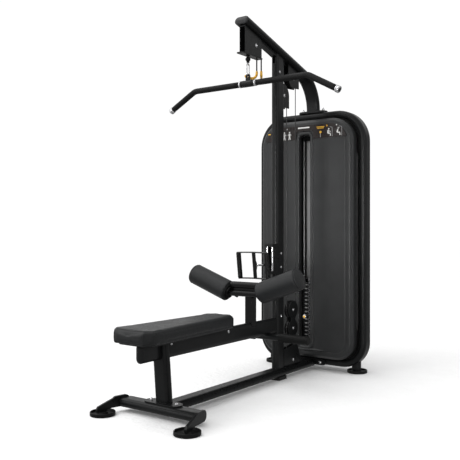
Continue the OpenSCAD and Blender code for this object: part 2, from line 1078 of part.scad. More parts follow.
module stack_head() {
    rod_bottom = stack_z + 6;
    color(chrome_c)
        difference() {
            union() {
                translate([0, tower_y, stack_top_z])
                    linear_extrude(head_t)
                        difference() {
                            square([2 * stack_hw - 10, 2 * stack_hd - 20], center = true);
                            for (s = [-1, 1])
                                translate([s * rod_x, 0])
                                    circle(r = rod_r + 0.5);
                        }
                translate([0, tower_y, rod_bottom])
                    cylinder(r = 12, h = stack_top_z - rod_bottom);
                translate([0, tower_y, stack_top_z + head_t])
                    cylinder(r = 14, h = 18);
            }
            bar_y(tower_y - 20, tower_y + 20, 0, pin_z, 5.3);
        }
}

module selector_pin() {
    reach = 8;
    knob_y = shroud_y + 4;
    color(chrome_c)
        bar_y(knob_y, tower_y + reach, 0, pin_z, 5);
    color(yellow_c)
        difference() {
            bar_y(knob_y - 14, knob_y + 12, 0, pin_z, 15);
            bar_y(knob_y, knob_y + 13, 0, pin_z, 5);
        }
}

// ---- Pulleys ----

module front_pulley() {
    color(rubber_c) pulley(front_p, pulley_r);
}

module rear_pulley() {
    color(rubber_c) pulley(rear_p, pulley_r);
}

module upright_pulley() {
    color(rubber_c) pulley(upright_p, pulley_r);
}

module row_pulley() {
    color(rubber_c) pulley(row_p, row_pulley_r);
}

module lower_pulley() {
    color(rubber_c) pulley(lower_p, pulley_r);
}

module tower_bottom_pulley() {
    color(rubber_c) pulley(tower_low_p, tower_low_r);
}

module tower_top_pulley() {
    color(rubber_c) pulley(tower_top_p, tower_top_r);
}

module block_upper_pulley() {
    color(rubber_c) pulley(block_up_p, pulley_r);
}

module block_lower_pulley() {
    color(rubber_c) pulley(block_low_p, pulley_r);
}

module block_plates() {
    r = 59;
    waist = 26;
    mid = (block_up_p[1] + block_low_p[1]) / 2;
    half = (block_up_p[1] - block_low_p[1]) / 2;
    color(black_c)
        difference() {
            plate_pair(bracket_in, bracket_out)
                union() {
                    for (p = [block_up_p, block_low_p])
                        translate(p)
                            circle(r = r);
                    translate([block_up_p[0] - waist, mid - half])
                        square([2 * waist, 2 * half]);
                }
            for (p = [block_up_p, block_low_p])
                bar_x(-30, 30, p[0], p[1], axle_r);
        }
}

module block_axles() {
    color(chrome_c)
        for (p = [block_up_p, block_low_p])
            axle(p, bracket_out);
}

// ---- Fasteners on the frame ----

module frame_bolts() {
    color(chrome_c) {
        axle(front_p, housing_hw);
        axle(rear_p, bracket_out + 3);
        axle(upright_p, bracket_out);
        axle(lower_p, bracket_out);
        axle(tower_top_p, bracket_out);
        axle(row_p, 29.7);
        bar_x(-12.9, 12.9, tower_low_p[0], tower_low_p[1], axle_r);
        // seat beam, upright and tower bolts
        for (y = [front_y + 191, front_y + 697])
            side_bolts(tube_t / 2, y, 386);
        for (z = [416, row_z + 68, row_z - 21])
            side_bolts(tube_t / 2, upright_y + 2, z);
        side_bolts(tube_t / 2, upright_y - 16, 2009);
        for (s = [-1, 1]) {
            translate([s * 88, cross_y + 11, base_top_z + post_plate_t])
                cylinder(r = 9, h = 6);
            translate([s * 80, tower_y, mount_top_z])
                cylinder(r = 9, h = 14);
            bar_y(tower_y - 68, tower_y - 62, s * 88, 56, 9);
        }
        // stud that ends the stack's cable
        translate([0, rear_strand_y, anchor_z])
            cylinder(r = 6.5, h = 20);
    }
}

// ---- Cables ----

module main_cable() {
    a = 90 - boom_slope;
    up = [sin(boom_slope), cos(boom_slope)] * pulley_r;
    along = [cos(boom_slope), -sin(boom_slope)];
    gap = 0.05;
    color(chrome_c) {
        cable([lat_y, 2046], [lat_y, front_p[1]]);
        wrap(front_p, pulley_r, a, 180 - a);
        cable(front_p + up + gap * along, rear_p + up - gap * along);
        wrap(rear_p, pulley_r, 0, a);
        wrap(upright_p, pulley_r, 0, 180);
        cable([inner_strand_y, row_p[1]], [inner_strand_y, upright_p[1]]);
        wrap(row_p, row_pulley_r, -90, 90);
        cable([280, row_z], [row_p[0], row_z]);
    }
}

module block_cable_loops() {
    color(chrome_c) {
        wrap(block_up_p, pulley_r, 180, 180);
        wrap(block_low_p, pulley_r, 0, 180);
        cable([rear_strand_y, block_up_p[1]], [rear_strand_y, rear_p[1]]);
        cable([front_strand_y, block_up_p[1]], [front_strand_y, upright_p[1]]);
        cable([front_strand_y, lower_p[1]], [front_strand_y, block_low_p[1]]);
        cable([rear_strand_y, anchor_z + 20], [rear_strand_y, block_low_p[1]]);
    }
}

module stack_cable() {
    low = lower_p[1] - pulley_r;
    color(chrome_c) {
        wrap(lower_p, pulley_r, 180, 90);
        cable([lower_p[0], low], [tower_low_p[0], low]);
        wrap(tower_low_p, tower_low_r, -90, 90);
        cable([back_strand_y, tower_low_p[1]], [back_strand_y, tower_top_p[1]]);
        wrap(tower_top_p, tower_top_r, 0, 180);
    }
}

module lift_strand() {
    color(chrome_c)
        cable([tower_y, stack_top_z + head_t + 18], [tower_y, tower_top_p[1]]);
}

// ---- Lat bar ----

// Oval ring of round wire in the plane x = 0
module wire_link(y, z, half_l, half_w, r) {
    bar = half_l - half_w;
    translate([0, y, z]) {
        for (s = [0, 1])
            mirror([0, 0, s])
                translate([0, 0, bar])
                    rotate([90, 0, 90])
                        rotate_extrude(angle = 180)
                            translate([half_w, 0])
                                circle(r = r, $fn = 24);
        for (s = [-1, 1])
            translate([0, s * half_w, -bar])
                cylinder(r = r, h = 2 * bar, $fn = 24);
    }
}

module lat_ball_stop() {
    ball_r = 16;
    color(rubber_c) {
        translate([0, lat_y, ball_z])
            difference() {
                sphere(r = ball_r);
                translate([-20, -20, ball_r - 2])
                    cube(40);
            }
        translate([0, lat_y, shank_z])
            cylinder(r = 9, h = ball_z - ball_r + 3 - shank_z);
    }
}

module lat_carabiner() {
    color(chrome_c) {
        wire_link(lat_y, link_z, link_hl, link_hw, link_r);
        translate([0, lat_y, link_z + link_hl])
            cylinder(r = 7, h = shank_z - 0.3 - link_z - link_hl);
    }
}

module bar_hanger() {
    t = 5;
    eye_z = link_z - link_hl - 3;
    color(black_c)
        difference() {
            union() {
                bar_x(-sleeve_hl, sleeve_hl, lat_y, bar_z, sleeve_r);
                along_y(lat_y - t, lat_y + t)
                    difference() {
                        union() {
                            translate([-15, bar_z])
                                square([30, eye_z - bar_z]);
                            translate([0, eye_z])
                                circle(r = 15);
                        }
                        translate([0, eye_z])
                            circle(r = 8);
                    }
            }
            bar_x(-sleeve_hl - 1, sleeve_hl + 1, lat_y, bar_z, bar_core_r + 0.06);
        }
}

// Lat bar's centre line from the middle outwards, as tubes with ball joints
module lat_half(r, x0, x1_frac) {
    bar_x(x0, bar_straight, lat_y, bar_z, r);
    translate([bar_straight, lat_y, bar_z])
        sphere(r = r, $fn = 48);
    translate([bar_straight, lat_y, bar_z])
        rotate([0, 90 + atan2(bar_drop, bar_tip_x - bar_straight), 0])
            cylinder(r = r, h = norm([bar_tip_x - bar_straight, bar_drop]) * x1_frac);
}

module lat_bar() {
    ring_r = 15;
    color(chrome_c)
        for (s = [0, 1])
            mirror([s, 0, 0]) {
                lat_half(bar_core_r, 0, 1);
                bar_x(sleeve_hl + 0.5, sleeve_hl + 12, lat_y, bar_z, ring_r + 3);
                translate([bar_tip_x, lat_y, bar_z - bar_drop])
                    rotate([0, 90 + atan2(bar_drop, bar_tip_x - bar_straight), 0])
                        cylinder(r = ring_r, h = 8);
            }
}

module bar_grips() {
    color(rubber_c)
        for (s = [0, 1])
            mirror([s, 0, 0])
                difference() {
                    lat_half(bar_grip_r, sleeve_hl + 16, 0.93);
                    lat_half(bar_core_r, sleeve_hl, 1);
                }
}

// ---- Rowing handle ----

module row_ball_stop() {
    color(rubber_c) {
        translate([0, row_ball_y, row_z])
            sphere(r = 15);
        bar_y(row_shank_y, row_ball_y - 12, 0, row_z, 8);
    }
}

module row_carabiner() {
    color(chrome_c) {
        translate([0, row_link_y, row_z])
            rotate([0, 90, 0])
                rotate([90, 0, 0])
                    wire_link(0, 0, link_hl, link_hw, link_r);
        bar_y(row_link_y + link_hl, row_shank_y - 0.3, 0, row_z, 6);
    }
}

// Bowed strip of the rowing handle, at height z in the handle's own frame
module bowed_strip(z, w, t) {
    r = (row_grip_x * row_grip_x + row_bow * row_bow) / (2 * row_bow);
    translate([0, 0, z])
        linear_extrude(t)
            intersection() {
                translate([0, row_bow - r])
                    difference() {
                        circle(r = r + w / 2, $fn = 180);
                        circle(r = r - w / 2, $fn = 180);
                    }
                translate([-row_grip_x, -30])
                    square([2 * row_grip_x, 80]);
            }
}

module row_handle() {
    strip = 5;
    strip_w = 24;
    half = (row_top_z - row_bottom_z) / 2;
    lug = row_eye_y - row_y - 8;
    color(black_c)
        translate([0, row_y + 8, row_z])
            rotate([row_lean, 0, 0]) {
                for (z = [-half, half - strip])
                    bowed_strip(z, strip_w, strip);
                for (s = [-1, 1]) {
                    translate([s * row_grip_x, 0, -half])
                        cylinder(r = row_grip_r, h = 2 * half);
                }
                translate([-strip_w / 2, row_bow - 3, strip - half])
                    cube([strip_w, 6, 2 * half - 2 * strip]);
                // lug on the centre strip, with the eye for the carabiner
                difference() {
                    along_x(-3, 3)
                        polygon([[row_bow + 2, 60], [row_bow + 2, -66], [lug + 14, -13], [lug + 14, 6]]);
                    bar_x(-4, 4, lug, -lug * tan(row_lean), 8);
                }
            }
}

front_cross_tube();
front_foot_brackets();
rubber_feet();
seat_post();
seat_beam();
seat_beam_end_cap();
seat_board();
seat_pad();
base_beam();
upright();
boom();
boom_end_cap();
boom_rail();
pulley_housing();
bar_hooks();
rear_pulley_bracket();
upright_pulley_bracket();
lower_pulley_bracket();
row_guide_block();
foot_rest_bar();
foot_rest_grips();
pad_frame();
tower_ring();
front_shroud();
rear_shroud();
guide_rods();
tower_top_bracket();
fixed_plates();
stack_cushions();
frame_bolts();
main_cable();
stack_cable();
selected_plates();
stack_head();
selector_pin();
lift_strand();
block_plates();
block_axles();
block_cable_loops();
block_upper_pulley();
block_lower_pulley();
front_pulley();
rear_pulley();
upright_pulley();
row_pulley();
lower_pulley();
tower_bottom_pulley();
tower_top_pulley();
lat_ball_stop();
lat_carabiner();
bar_hanger();
lat_bar();
bar_grips();
row_ball_stop();
row_carabiner();
row_handle();
left_roller();
right_roller();
left_guide_roller();
right_guide_roller();
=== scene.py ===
import json
import math

import bmesh
import bpy
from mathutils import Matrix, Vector
from mathutils.bvhtree import BVHTree


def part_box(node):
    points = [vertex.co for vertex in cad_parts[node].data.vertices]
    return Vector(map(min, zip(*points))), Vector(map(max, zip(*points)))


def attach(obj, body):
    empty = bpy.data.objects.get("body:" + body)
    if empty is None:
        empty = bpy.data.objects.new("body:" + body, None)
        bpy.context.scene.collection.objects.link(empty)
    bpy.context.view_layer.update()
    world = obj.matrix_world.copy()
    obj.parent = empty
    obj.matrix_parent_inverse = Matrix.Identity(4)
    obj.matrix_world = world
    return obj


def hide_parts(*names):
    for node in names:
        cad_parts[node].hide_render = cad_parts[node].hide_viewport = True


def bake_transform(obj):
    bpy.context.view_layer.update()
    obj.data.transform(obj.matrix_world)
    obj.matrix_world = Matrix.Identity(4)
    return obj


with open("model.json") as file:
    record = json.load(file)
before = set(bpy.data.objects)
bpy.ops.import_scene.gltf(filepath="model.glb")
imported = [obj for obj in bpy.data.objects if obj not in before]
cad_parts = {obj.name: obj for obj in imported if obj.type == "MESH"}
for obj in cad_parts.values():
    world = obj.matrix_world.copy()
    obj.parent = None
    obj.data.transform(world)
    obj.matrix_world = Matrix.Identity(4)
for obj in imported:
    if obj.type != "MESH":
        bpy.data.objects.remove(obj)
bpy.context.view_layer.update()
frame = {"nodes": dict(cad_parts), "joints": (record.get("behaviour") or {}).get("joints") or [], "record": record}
nodes = frame["nodes"]
node_slot = {s["node"]: s["material_slot"] for s in frame["record"]["subparts"]}

# ---- Camera, light and floor ----

CAMERA_AT = (2.398, -3.405, 1.0)
CAMERA_AZIMUTH = 36.25
LENS_MM = 53.44
SENSOR_MM = 36
SHIFT_Y = -0.0072

FLOOR_SIZE = 120
SKY_POWER = 1.1
SKY_SPREAD_DEG = 70
SLOT_FILL_SPREAD_DEG = 30
# brightness of the world below and above the horizon, and as the camera sees it
WORLD_LOW, WORLD_HIGH, WORLD_SEEN = 0.46, 0.75, 1.04


def make_camera():
    data = bpy.data.cameras.new("camera")
    data.lens = LENS_MM
    data.sensor_width = SENSOR_MM
    data.shift_y = SHIFT_Y
    camera = bpy.data.objects.new("camera", data)
    camera.location = CAMERA_AT
    camera.rotation_euler = (math.radians(90), 0, math.radians(CAMERA_AZIMUTH))
    bpy.context.scene.collection.objects.link(camera)
    bpy.context.scene.camera = camera


def area_light(name, at, target, size, power):
    data = bpy.data.lights.new(name, "AREA")
    data.shape = "RECTANGLE"
    data.size, data.size_y = size
    data.energy = power
    light = bpy.data.objects.new(name, data)
    light.location = at
    light.rotation_euler = (Vector(target) - Vector(at)).to_track_quat("-Z", "Y").to_euler()
    bpy.context.scene.collection.objects.link(light)
    return light


def make_world():
    """White to the camera; to the machine, a dim sky that is darker below the horizon."""
    world = bpy.data.worlds.new("studio")
    bpy.context.scene.world = world
    bpy.context.scene.view_settings.view_transform = "Standard"
    world.use_nodes = True
    tree = world.node_tree
    background = tree.nodes["Background"]
    background.inputs["Color"].default_value = (1, 1, 1, 1)
    seen = tree.nodes.new("ShaderNodeLightPath")
    way = tree.nodes.new("ShaderNodeTexCoord")
    split = tree.nodes.new("ShaderNodeSeparateXYZ")
    tree.links.new(way.outputs["Generated"], split.inputs[0])
    ground = tree.nodes.new("ShaderNodeMapRange")
    ground.inputs["From Min"].default_value = -0.12
    ground.inputs["From Max"].default_value = 0.06
    ground.inputs["To Min"].default_value = WORLD_LOW
    ground.inputs["To Max"].default_value = WORLD_HIGH
    tree.links.new(split.outputs["Z"], ground.inputs["Value"])
    level = tree.nodes.new("ShaderNodeMapRange")
    tree.links.new(ground.outputs["Result"], level.inputs["To Min"])
    level.inputs["To Max"].default_value = WORLD_SEEN
    tree.links.new(seen.outputs["Is Camera Ray"], level.inputs["Value"])
    tree.links.new(level.outputs["Result"], background.inputs["Strength"])


def make_floor():
    bpy.ops.mesh.primitive_plane_add(size=FLOOR_SIZE)
    floor = bpy.context.object
    floor.name = "floor"
    floor.data.materials.append(material("floor_white", (0.97, 0.97, 0.97), 0.7, specular=0.0,
                                         grain=(30, 0.01), spread=0.01))
    # the machine sees the dim lower half of the world in place of the floor's glare
    floor.visible_diffuse = floor.visible_glossy = False


def make_lights():
    sky = bpy.data.objects.new("sky", bpy.data.lights.new("sky", "SUN"))
    sky.data.energy = SKY_POWER
    sky.data.angle = math.radians(SKY_SPREAD_DEG)
    sky.rotation_euler = Vector((0.42, 0.25, -1)).to_track_quat("-Z", "Y").to_euler()
    bpy.context.scene.collection.objects.link(sky)
    area_light("key", (-1.4, -1.6, 4.8), (0, 0.1, 0.4), (1.6, 1.6), 20)
    area_light("left_strip", (-3.4, -2.6, 2.2), (0, 0, 1.0), (0.8, 3.2), 18)
    area_light("front_strip", (-1.35, -3.2, 1.9), (0.2, 0.75, 1.0), (0.6, 3.0), 22)
    area_light("right_strip", (4.2, 0.6, 1.8), (0, 0.6, 1.0), (0.7, 3.2), 14)
    slot_fill = area_light("slot_fill", (1.5, -2.7, 1.05), (-0.09, 0.955, 1.05), (0.3, 1.4), 3)
    slot_fill.data.spread = math.radians(SLOT_FILL_SPREAD_DEG)


def make_card():
    """Grey card behind the machine on the right, seen only in reflections on its right-hand sides."""
    bpy.ops.mesh.primitive_plane_add(size=1, location=(2.7, 3.6, 1.2))
    card = bpy.context.object
    card.name = "dark_card"
    card.scale = (5.0, 3.4, 1)
    card.rotation_euler = (math.radians(90), 0, math.radians(-37))
    card.visible_camera = card.visible_diffuse = card.visible_shadow = False
    card.data.materials.append(material("card_grey", (0.42, 0.42, 0.42), 0.9, specular=0.0))


# ---- Materials ----


class Shader:
    """A principled material whose nodes read object coordinates."""

    def __init__(self, name, colour, roughness, metallic=0.0, specular=0.5, coat=0.0):
        self.mat = bpy.data.materials.new(name)
        self.mat.use_nodes = True
        self.tree = self.mat.node_tree
        self.bsdf = self.tree.nodes["Principled BSDF"]
        self.bsdf.inputs["Base Color"].default_value = (*colour, 1)
        self.bsdf.inputs["Roughness"].default_value = roughness
        self.bsdf.inputs["Metallic"].default_value = metallic
        self.bsdf.inputs["Specular IOR Level"].default_value = specular
        self.bsdf.inputs["Coat Weight"].default_value = coat
        self.coords = self.tree.nodes.new("ShaderNodeTexCoord").outputs["Object"]
        self.normal = None

    def link(self, a, b):
        self.tree.links.new(a, b)

    def noise(self, scale, detail):
        node = self.tree.nodes.new("ShaderNodeTexNoise")
        node.inputs["Scale"].default_value = scale
        node.inputs["Detail"].default_value = detail
        self.link(self.coords, node.inputs["Vector"])
        return node.outputs["Fac"]

    def cells(self, scale):
        node = self.tree.nodes.new("ShaderNodeTexVoronoi")
        node.feature = "F1"
        node.inputs["Scale"].default_value = scale
        self.link(self.coords, node.inputs["Vector"])
        return node.outputs["Distance"]

    def remap(self, value, low, high):
        """The middle range of a noise value, 0.3 to 0.7, mapped to low and high."""
        node = self.tree.nodes.new("ShaderNodeMapRange")
        node.inputs["From Min"].default_value = 0.3
        node.inputs["From Max"].default_value = 0.7
        node.inputs["To Min"].default_value = low
        node.inputs["To Max"].default_value = high
        self.link(value, node.inputs["Value"])
        return node.outputs["Result"]

    def vary_colour(self, value, dark, light):
        node = self.tree.nodes.new("ShaderNodeMix")
        node.data_type = "RGBA"
        node.inputs["A"].default_value = (*dark, 1)
        node.inputs["B"].default_value = (*light, 1)
        self.link(self.remap(value, 0, 1), node.inputs["Factor"])
        self.link(node.outputs["Result"], self.bsdf.inputs["Base Color"])

    def vary_roughness(self, value, low, high):
        self.link(self.remap(value, low, high), self.bsdf.inputs["Roughness"])

    def round_edges(self, radius):
        node = self.tree.nodes.new("ShaderNodeBevel")
        node.samples = 4
        node.inputs["Radius"].default_value = radius
        self.normal = node.outputs["Normal"]
        self.link(self.normal, self.bsdf.inputs["Normal"])

    def bump(self, height, distance, strength):
        node = self.tree.nodes.new("ShaderNodeBump")
        node.inputs["Strength"].default_value = strength
        node.inputs["Distance"].default_value = distance
        self.link(height, node.inputs["Height"])
        if self.normal:
            self.link(self.normal, node.inputs["Normal"])
        self.normal = node.outputs["Normal"]
        self.link(self.normal, self.bsdf.inputs["Normal"])


def scaled(colour, k):
    return tuple(min(1, c * k) for c in colour)


def material(name, colour, roughness, metallic=0.0, specular=0.5, coat=0.0, grain=(900, 0.0002),
             spread=0.2, edge=0.0, pebble=None):
    """Mottled colour, uneven roughness, and bumps; grain and pebble are each (scale, height)."""
    shader = Shader(name, colour, roughness, metallic, specular, coat)
    if edge:
        shader.round_edges(edge)
    shader.vary_colour(shader.noise(9, 4), scaled(colour, 1 - spread), scaled(colour, 1 + spread))
    shader.vary_roughness(shader.noise(40, 5), roughness - 0.05, roughness + 0.05)
    if pebble:
        shader.bump(shader.cells(pebble[0]), pebble[1], 0.6)
    shader.bump(shader.noise(grain[0], 2), grain[1], 0.5)
    return shader.mat


MATERIALS = {
    "frame_black": material("frame_paint", (0.0068, 0.0072, 0.0074), 0.32, specular=0.18,
                            grain=(1400, 0.0003), edge=0.0015),
    # darker, less glossy copy of the frame paint for the base beam: painted shade for the shadowed floor it
    # reflects
    "frame_paint_shaded": material("frame_paint_shaded", (0.0060, 0.0064, 0.0066), 0.30, specular=0.09,
                          grain=(1400, 0.0003), edge=0.0015),
    "frame_gloss": material("frame_gloss", (0.0035, 0.0036, 0.0036), 0.17, specular=0.22,
                            grain=(400, 0.0001), edge=0.001),
    "shroud_grey": material("shroud_plastic", (0.0198, 0.0205, 0.0209), 0.36, specular=0.32, spread=0.12,
                            grain=(1100, 0.0006), edge=0.002, pebble=(420, 0.0006)),
    "upholstery": material("vinyl", (0.0105, 0.0112, 0.0118), 0.40, specular=0.24, spread=0.07,
                           grain=(900, 0.0003), pebble=(640, 0.0005)),
    "rubber": material("rubber", (0.0060, 0.0060, 0.0060), 0.46, specular=0.13,
                       grain=(800, 0.0005), edge=0.0015),
    "plastic_black": material("moulded_plastic", (0.010, 0.0105, 0.011), 0.42, specular=0.2,
                              grain=(1200, 0.0004), edge=0.0015),
    "pulley_black": material("nylon", (0.004, 0.004, 0.004), 0.36, specular=0.2,
                             grain=(900, 0.0002), edge=0.0008),
    "plate_black": material("plate_paint", (0.007, 0.007, 0.0075), 0.5, specular=0.2,
                            grain=(600, 0.0006), edge=0.0015),
    "steel_black": material("black_steel", (0.005, 0.005, 0.005), 0.32, specular=0.2,
                            grain=(1500, 0.0002), edge=0.001),
    "chrome": material("polished_chrome", (0.60, 0.60, 0.61), 0.13, metallic=1.0,
                       grain=(60, 0.0001), spread=0.03),
    "rod_steel": material("rod_steel", (0.10, 0.10, 0.10), 0.42, metallic=1.0,
                          grain=(60, 0.0001), spread=0.03),
    "cable": material("cable_sleeve", (0.012, 0.012, 0.012), 0.32, specular=0.4, grain=(2500, 0.0002)),
    "pin_yellow": material("yellow_plastic", (0.66, 0.36, 0.02), 0.3, coat=0.4,
                           grain=(500, 0.0001), spread=0.08),
    # light grey of the slot panel, painted light for the lit inside of the rear cover; also the grey of the
    # placard's print lines
    "lit_panel_and_print": material("lit_panel_and_print_grey", (0.34, 0.34, 0.34), 0.5, grain=(900, 0.0003), spread=0.04),
    "print_grey": material("print_grey", (0.30, 0.30, 0.30), 0.45, grain=(1500, 0.0001), spread=0.05),
    "plate_band": material("plate_band", (0.085, 0.085, 0.086), 0.4, grain=(900, 0.0002), spread=0.08),
    "placard": material("placard_brown", (0.017, 0.0125, 0.0115), 0.3, specular=0.22, grain=(1500, 0.0001)),
    "print_white": material("print_white", (0.72, 0.72, 0.70), 0.4, grain=(1500, 0.0001), spread=0.04),
    "seam": material("seam_thread", (0.016, 0.017, 0.018), 0.6, specular=0.25, grain=(3000, 0.0004)),
    "boom_cap_grey": material("boom_cap_grey", (0.022, 0.0225, 0.023), 0.42, specular=0.3,
                              grain=(1200, 0.0004)),
}


def paint_cad_nodes():
    for name, obj in nodes.items():
        obj.data.materials.clear()
        obj.data.materials.append(MATERIALS[node_slot[name]])
    nodes["pad_frame"].data.materials[0] = MATERIALS["frame_gloss"]
    # the base beam gets the painted-shade copy of the frame paint
    nodes["base_beam"].data.materials[0] = MATERIALS["frame_paint_shaded"]
    nodes["guide_rods"].data.materials[0] = MATERIALS["rod_steel"]


# ---- Piece helpers ----


def piece(name, verts, faces, slot, body="root", look=None, smooth=True, replaces=(), flat_angle=None):
    """A mesh in the shared frame with a material, riding on a body."""
    mesh = bpy.data.meshes.new(name)
    mesh.from_pydata([tuple(v) for v in verts], [], faces)
    bm = bmesh.new()
    bm.from_mesh(mesh)
    bmesh.ops.recalc_face_normals(bm, faces=bm.faces)
    bm.to_mesh(mesh)
    bm.free()
    obj = bpy.data.objects.new(name, mesh)
    bpy.context.scene.collection.objects.link(obj)
    mesh.materials.append(MATERIALS[look or slot])
    for p in mesh.polygons:
        p.use_smooth = smooth
    if flat_angle:
        mesh.set_sharp_from_angle(angle=math.radians(flat_angle))
    if replaces:
        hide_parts(*replaces)
    if body:
        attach(obj, body)
    return obj


def loft(rings, cap_start=True, cap_end=True, closed=True):
    """Vertices and faces of a skin over rings of equal length."""
    n = len(rings[0])
    if any(len(ring) != n for ring in rings):
        raise ValueError("rings differ in length")
    verts = [v for ring in rings for v in ring]
    faces = []
    for k in range(len(rings) - 1):
        for i in range(n if closed else n - 1):
            j = (i + 1) % n
            faces.append((k * n + i, k * n + j, (k + 1) * n + j, (k + 1) * n + i))
    if cap_start:
        faces.append(tuple(reversed(range(n))))
    if cap_end:
        faces.append(tuple(range((len(rings) - 1) * n, len(rings) * n)))
    return verts, faces


def add_mesh(a, b):
    """Two meshes as one list of vertices and faces."""
    k = len(a[0])
    return a[0] + b[0], a[1] + [tuple(i + k for i in f) for f in b[1]]


def joined(parts):
    total = ([], [])
    for p in parts:
        total = add_mesh(total, p)
    return total


def tube(points, radius, sides=20):
    """A round tube along points; radius is one number or one per point."""
    pts = [Vector(p) for p in points]
    radii = radius if isinstance(radius, (list, tuple)) else [radius] * len(pts)
    tangent = [(pts[min(i + 1, len(pts) - 1)] - pts[max(i - 1, 0)]).normalized() for i in range(len(pts))]
    side = tangent[0].orthogonal().normalized()
    rings = []
    for p, t, r in zip(pts, tangent, radii):
        side = (side - t * side.dot(t)).normalized()
        up = t.cross(side)
        rings.append([p + r * (math.cos(a) * side + math.sin(a) * up)
                      for a in (2 * math.pi * k / sides for k in range(sides))])
    return loft(rings)


def lathe(profile, at, axis, sides=32):
    """A profile of (distance along axis, radius) turned round the axis from a point."""
    axis = Vector(axis).normalized()
    side = axis.orthogonal().normalized()
    up = axis.cross(side)
    at = Vector(at)
    rings = []
    for d, r in profile:
        r = max(r, 1e-5)
        rings.append([at + axis * d + r * (math.cos(a) * side + math.sin(a) * up)
                      for a in (2 * math.pi * k / sides for k in range(sides))])
    return loft(rings)


def arc(centre, radius, a0, a1, u, v, n=12):
    """Points on an arc in the plane of u and v, angles in degrees."""
    c, u, v = Vector(centre), Vector(u), Vector(v)
    return [c + radius * (math.cos(a) * u + math.sin(a) * v)
            for a in (math.radians(a0 + (a1 - a0) * k / n) for k in range(n + 1))]


def line(a, b, n):
    a, b = Vector(a), Vector(b)
    return [a.lerp(b, k / n) for k in range(n + 1)]


def outline(hw, z0, z1, r_top, r_low):
    """Rounded rectangle in x and z, anticlockwise from the middle of its lower edge."""
    n_corner, n_side, n_end = 14, 48, 10
    pts = []

    def straight(p, q, n):
        pts.extend(((p[0] + (q[0] - p[0]) * k / n, p[1] + (q[1] - p[1]) * k / n) for k in range(n)))

    def corner(cx, cz, r, a0):
        pts.extend(((cx + r * math.cos(a), cz + r * math.sin(a))
                    for a in (math.radians(a0 + 90 * k / n_corner) for k in range(n_corner))))

    straight((0, z0), (hw - r_low, z0), n_end)
    corner(hw - r_low, z0 + r_low, r_low, -90)
    straight((hw, z0 + r_low), (hw, z1 - r_top), n_side)
    corner(hw - r_top, z1 - r_top, r_top, 0)
    straight((hw - r_top, z1), (r_top - hw, z1), 2 * n_end)
    corner(r_top - hw, z1 - r_top, r_top, 90)
    straight((-hw, z1 - r_top), (-hw, z0 + r_low), n_side)
    corner(r_low - hw, z0 + r_low, r_low, 180)
    straight((r_low - hw, z0), (0, z0), n_end)
    return pts


def inflate(obj, voxel, cap, pressure):
    """Swells a closed padded form by cloth simulation and keeps each point within cap of its start."""
    frames = 20
    bpy.ops.object.select_all(action="DESELECT")
    bpy.context.view_layer.objects.active = obj
    obj.select_set(True)
    remesh = obj.modifiers.new("remesh", "REMESH")
    remesh.mode = "VOXEL"
    remesh.voxel_size = voxel
    remesh.use_smooth_shade = True
    bpy.ops.object.modifier_apply(modifier=remesh.name)
    start = [v.co.copy() for v in obj.data.vertices]
    cloth = obj.modifiers.new("cloth", "CLOTH")
    cloth.settings.use_pressure = True
    cloth.settings.uniform_pressure_force = pressure
    cloth.settings.effector_weights.gravity = 0
    cloth.point_cache.frame_start = 1
    cloth.point_cache.frame_end = frames
    scene = bpy.context.scene
    for number in range(1, frames + 1):
        scene.frame_set(number)
    depsgraph = bpy.context.evaluated_depsgraph_get()
    end = [v.co.copy() for v in obj.evaluated_get(depsgraph).data.vertices]
    obj.modifiers.remove(cloth)
    scene.frame_set(1)
    for v, a, b in zip(obj.data.vertices, start, end):
        move = b - a
        if move.length > cap:
            move *= cap / move.length
        v.co = a + move
    smooth = obj.modifiers.new("smooth", "SMOOTH")
    smooth.factor = 0.5
    smooth.iterations = 1
    bpy.ops.object.modifier_apply(modifier=smooth.name)
    sub = obj.modifiers.new("sub", "SUBSURF")
    sub.levels = 1
    sub.render_levels = 1
    for p in obj.data.polygons:
        p.use_smooth = True


def on_surface(obj, points, lift):
    """Points moved to the nearest place on a piece's surface, lifted along its normal."""
    mesh = obj.data
    tree = BVHTree.FromPolygons([v.co for v in mesh.vertices], [tuple(p.vertices) for p in mesh.polygons])
    out = []
    for p in points:
        at, normal = tree.find_nearest(Vector(p))[:2]
        out.append(at + normal * lift)
    return out


# ---- Upholstery ----

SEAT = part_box("seat_pad")
SEAT_REAR_HALF = 0.104
SEAT_CUT = 0.042
SEAT_CORNER_R = 0.008
ROLLER_RISE_DEG = 20
ROLLER_R, ROLLER_LENGTH = 0.0645, 0.285
JOINT_BODY = {joint["name"]: joint["child"] for joint in frame["joints"]}


def seat_ring(inset, z):
    """The pad's outline with cut corners, drawn in by an inset, at height z."""
    lo, hi = SEAT
    front, rear = hi.x - inset, SEAT_REAR_HALF - inset
    y0, y1 = lo.y + inset, hi.y - inset
    cut = SEAT_CUT - inset * 0.4
    corners = [(-front + cut, y0), (front - cut, y0), (front, y0 + cut), (rear, y1 - cut),
               (rear - cut, y1), (-rear + cut, y1), (-rear, y1 - cut), (-front, y0 + cut)]
    points_per_side = (8, 2, 24, 2, 6, 2, 24, 2)
    pts = []
    for i, n in enumerate(points_per_side):
        before, corner, after = Vector(corners[i - 1]), Vector(corners[i]), Vector(corners[(i + 1) % 8])
        turn_in = corner + (before - corner).normalized() * SEAT_CORNER_R
        turn_out = corner + (after - corner).normalized() * SEAT_CORNER_R
        for k in range(5):
            t = k / 4
            pts.append((1 - t) ** 2 * turn_in + 2 * t * (1 - t) * corner + t * t * turn_out)
        side_end = after + (corner - after).normalized() * SEAT_CORNER_R
        pts.extend(turn_out.lerp(side_end, k / n) for k in range(1, n))
    return [Vector((p[0], p[1], z)) for p in pts]


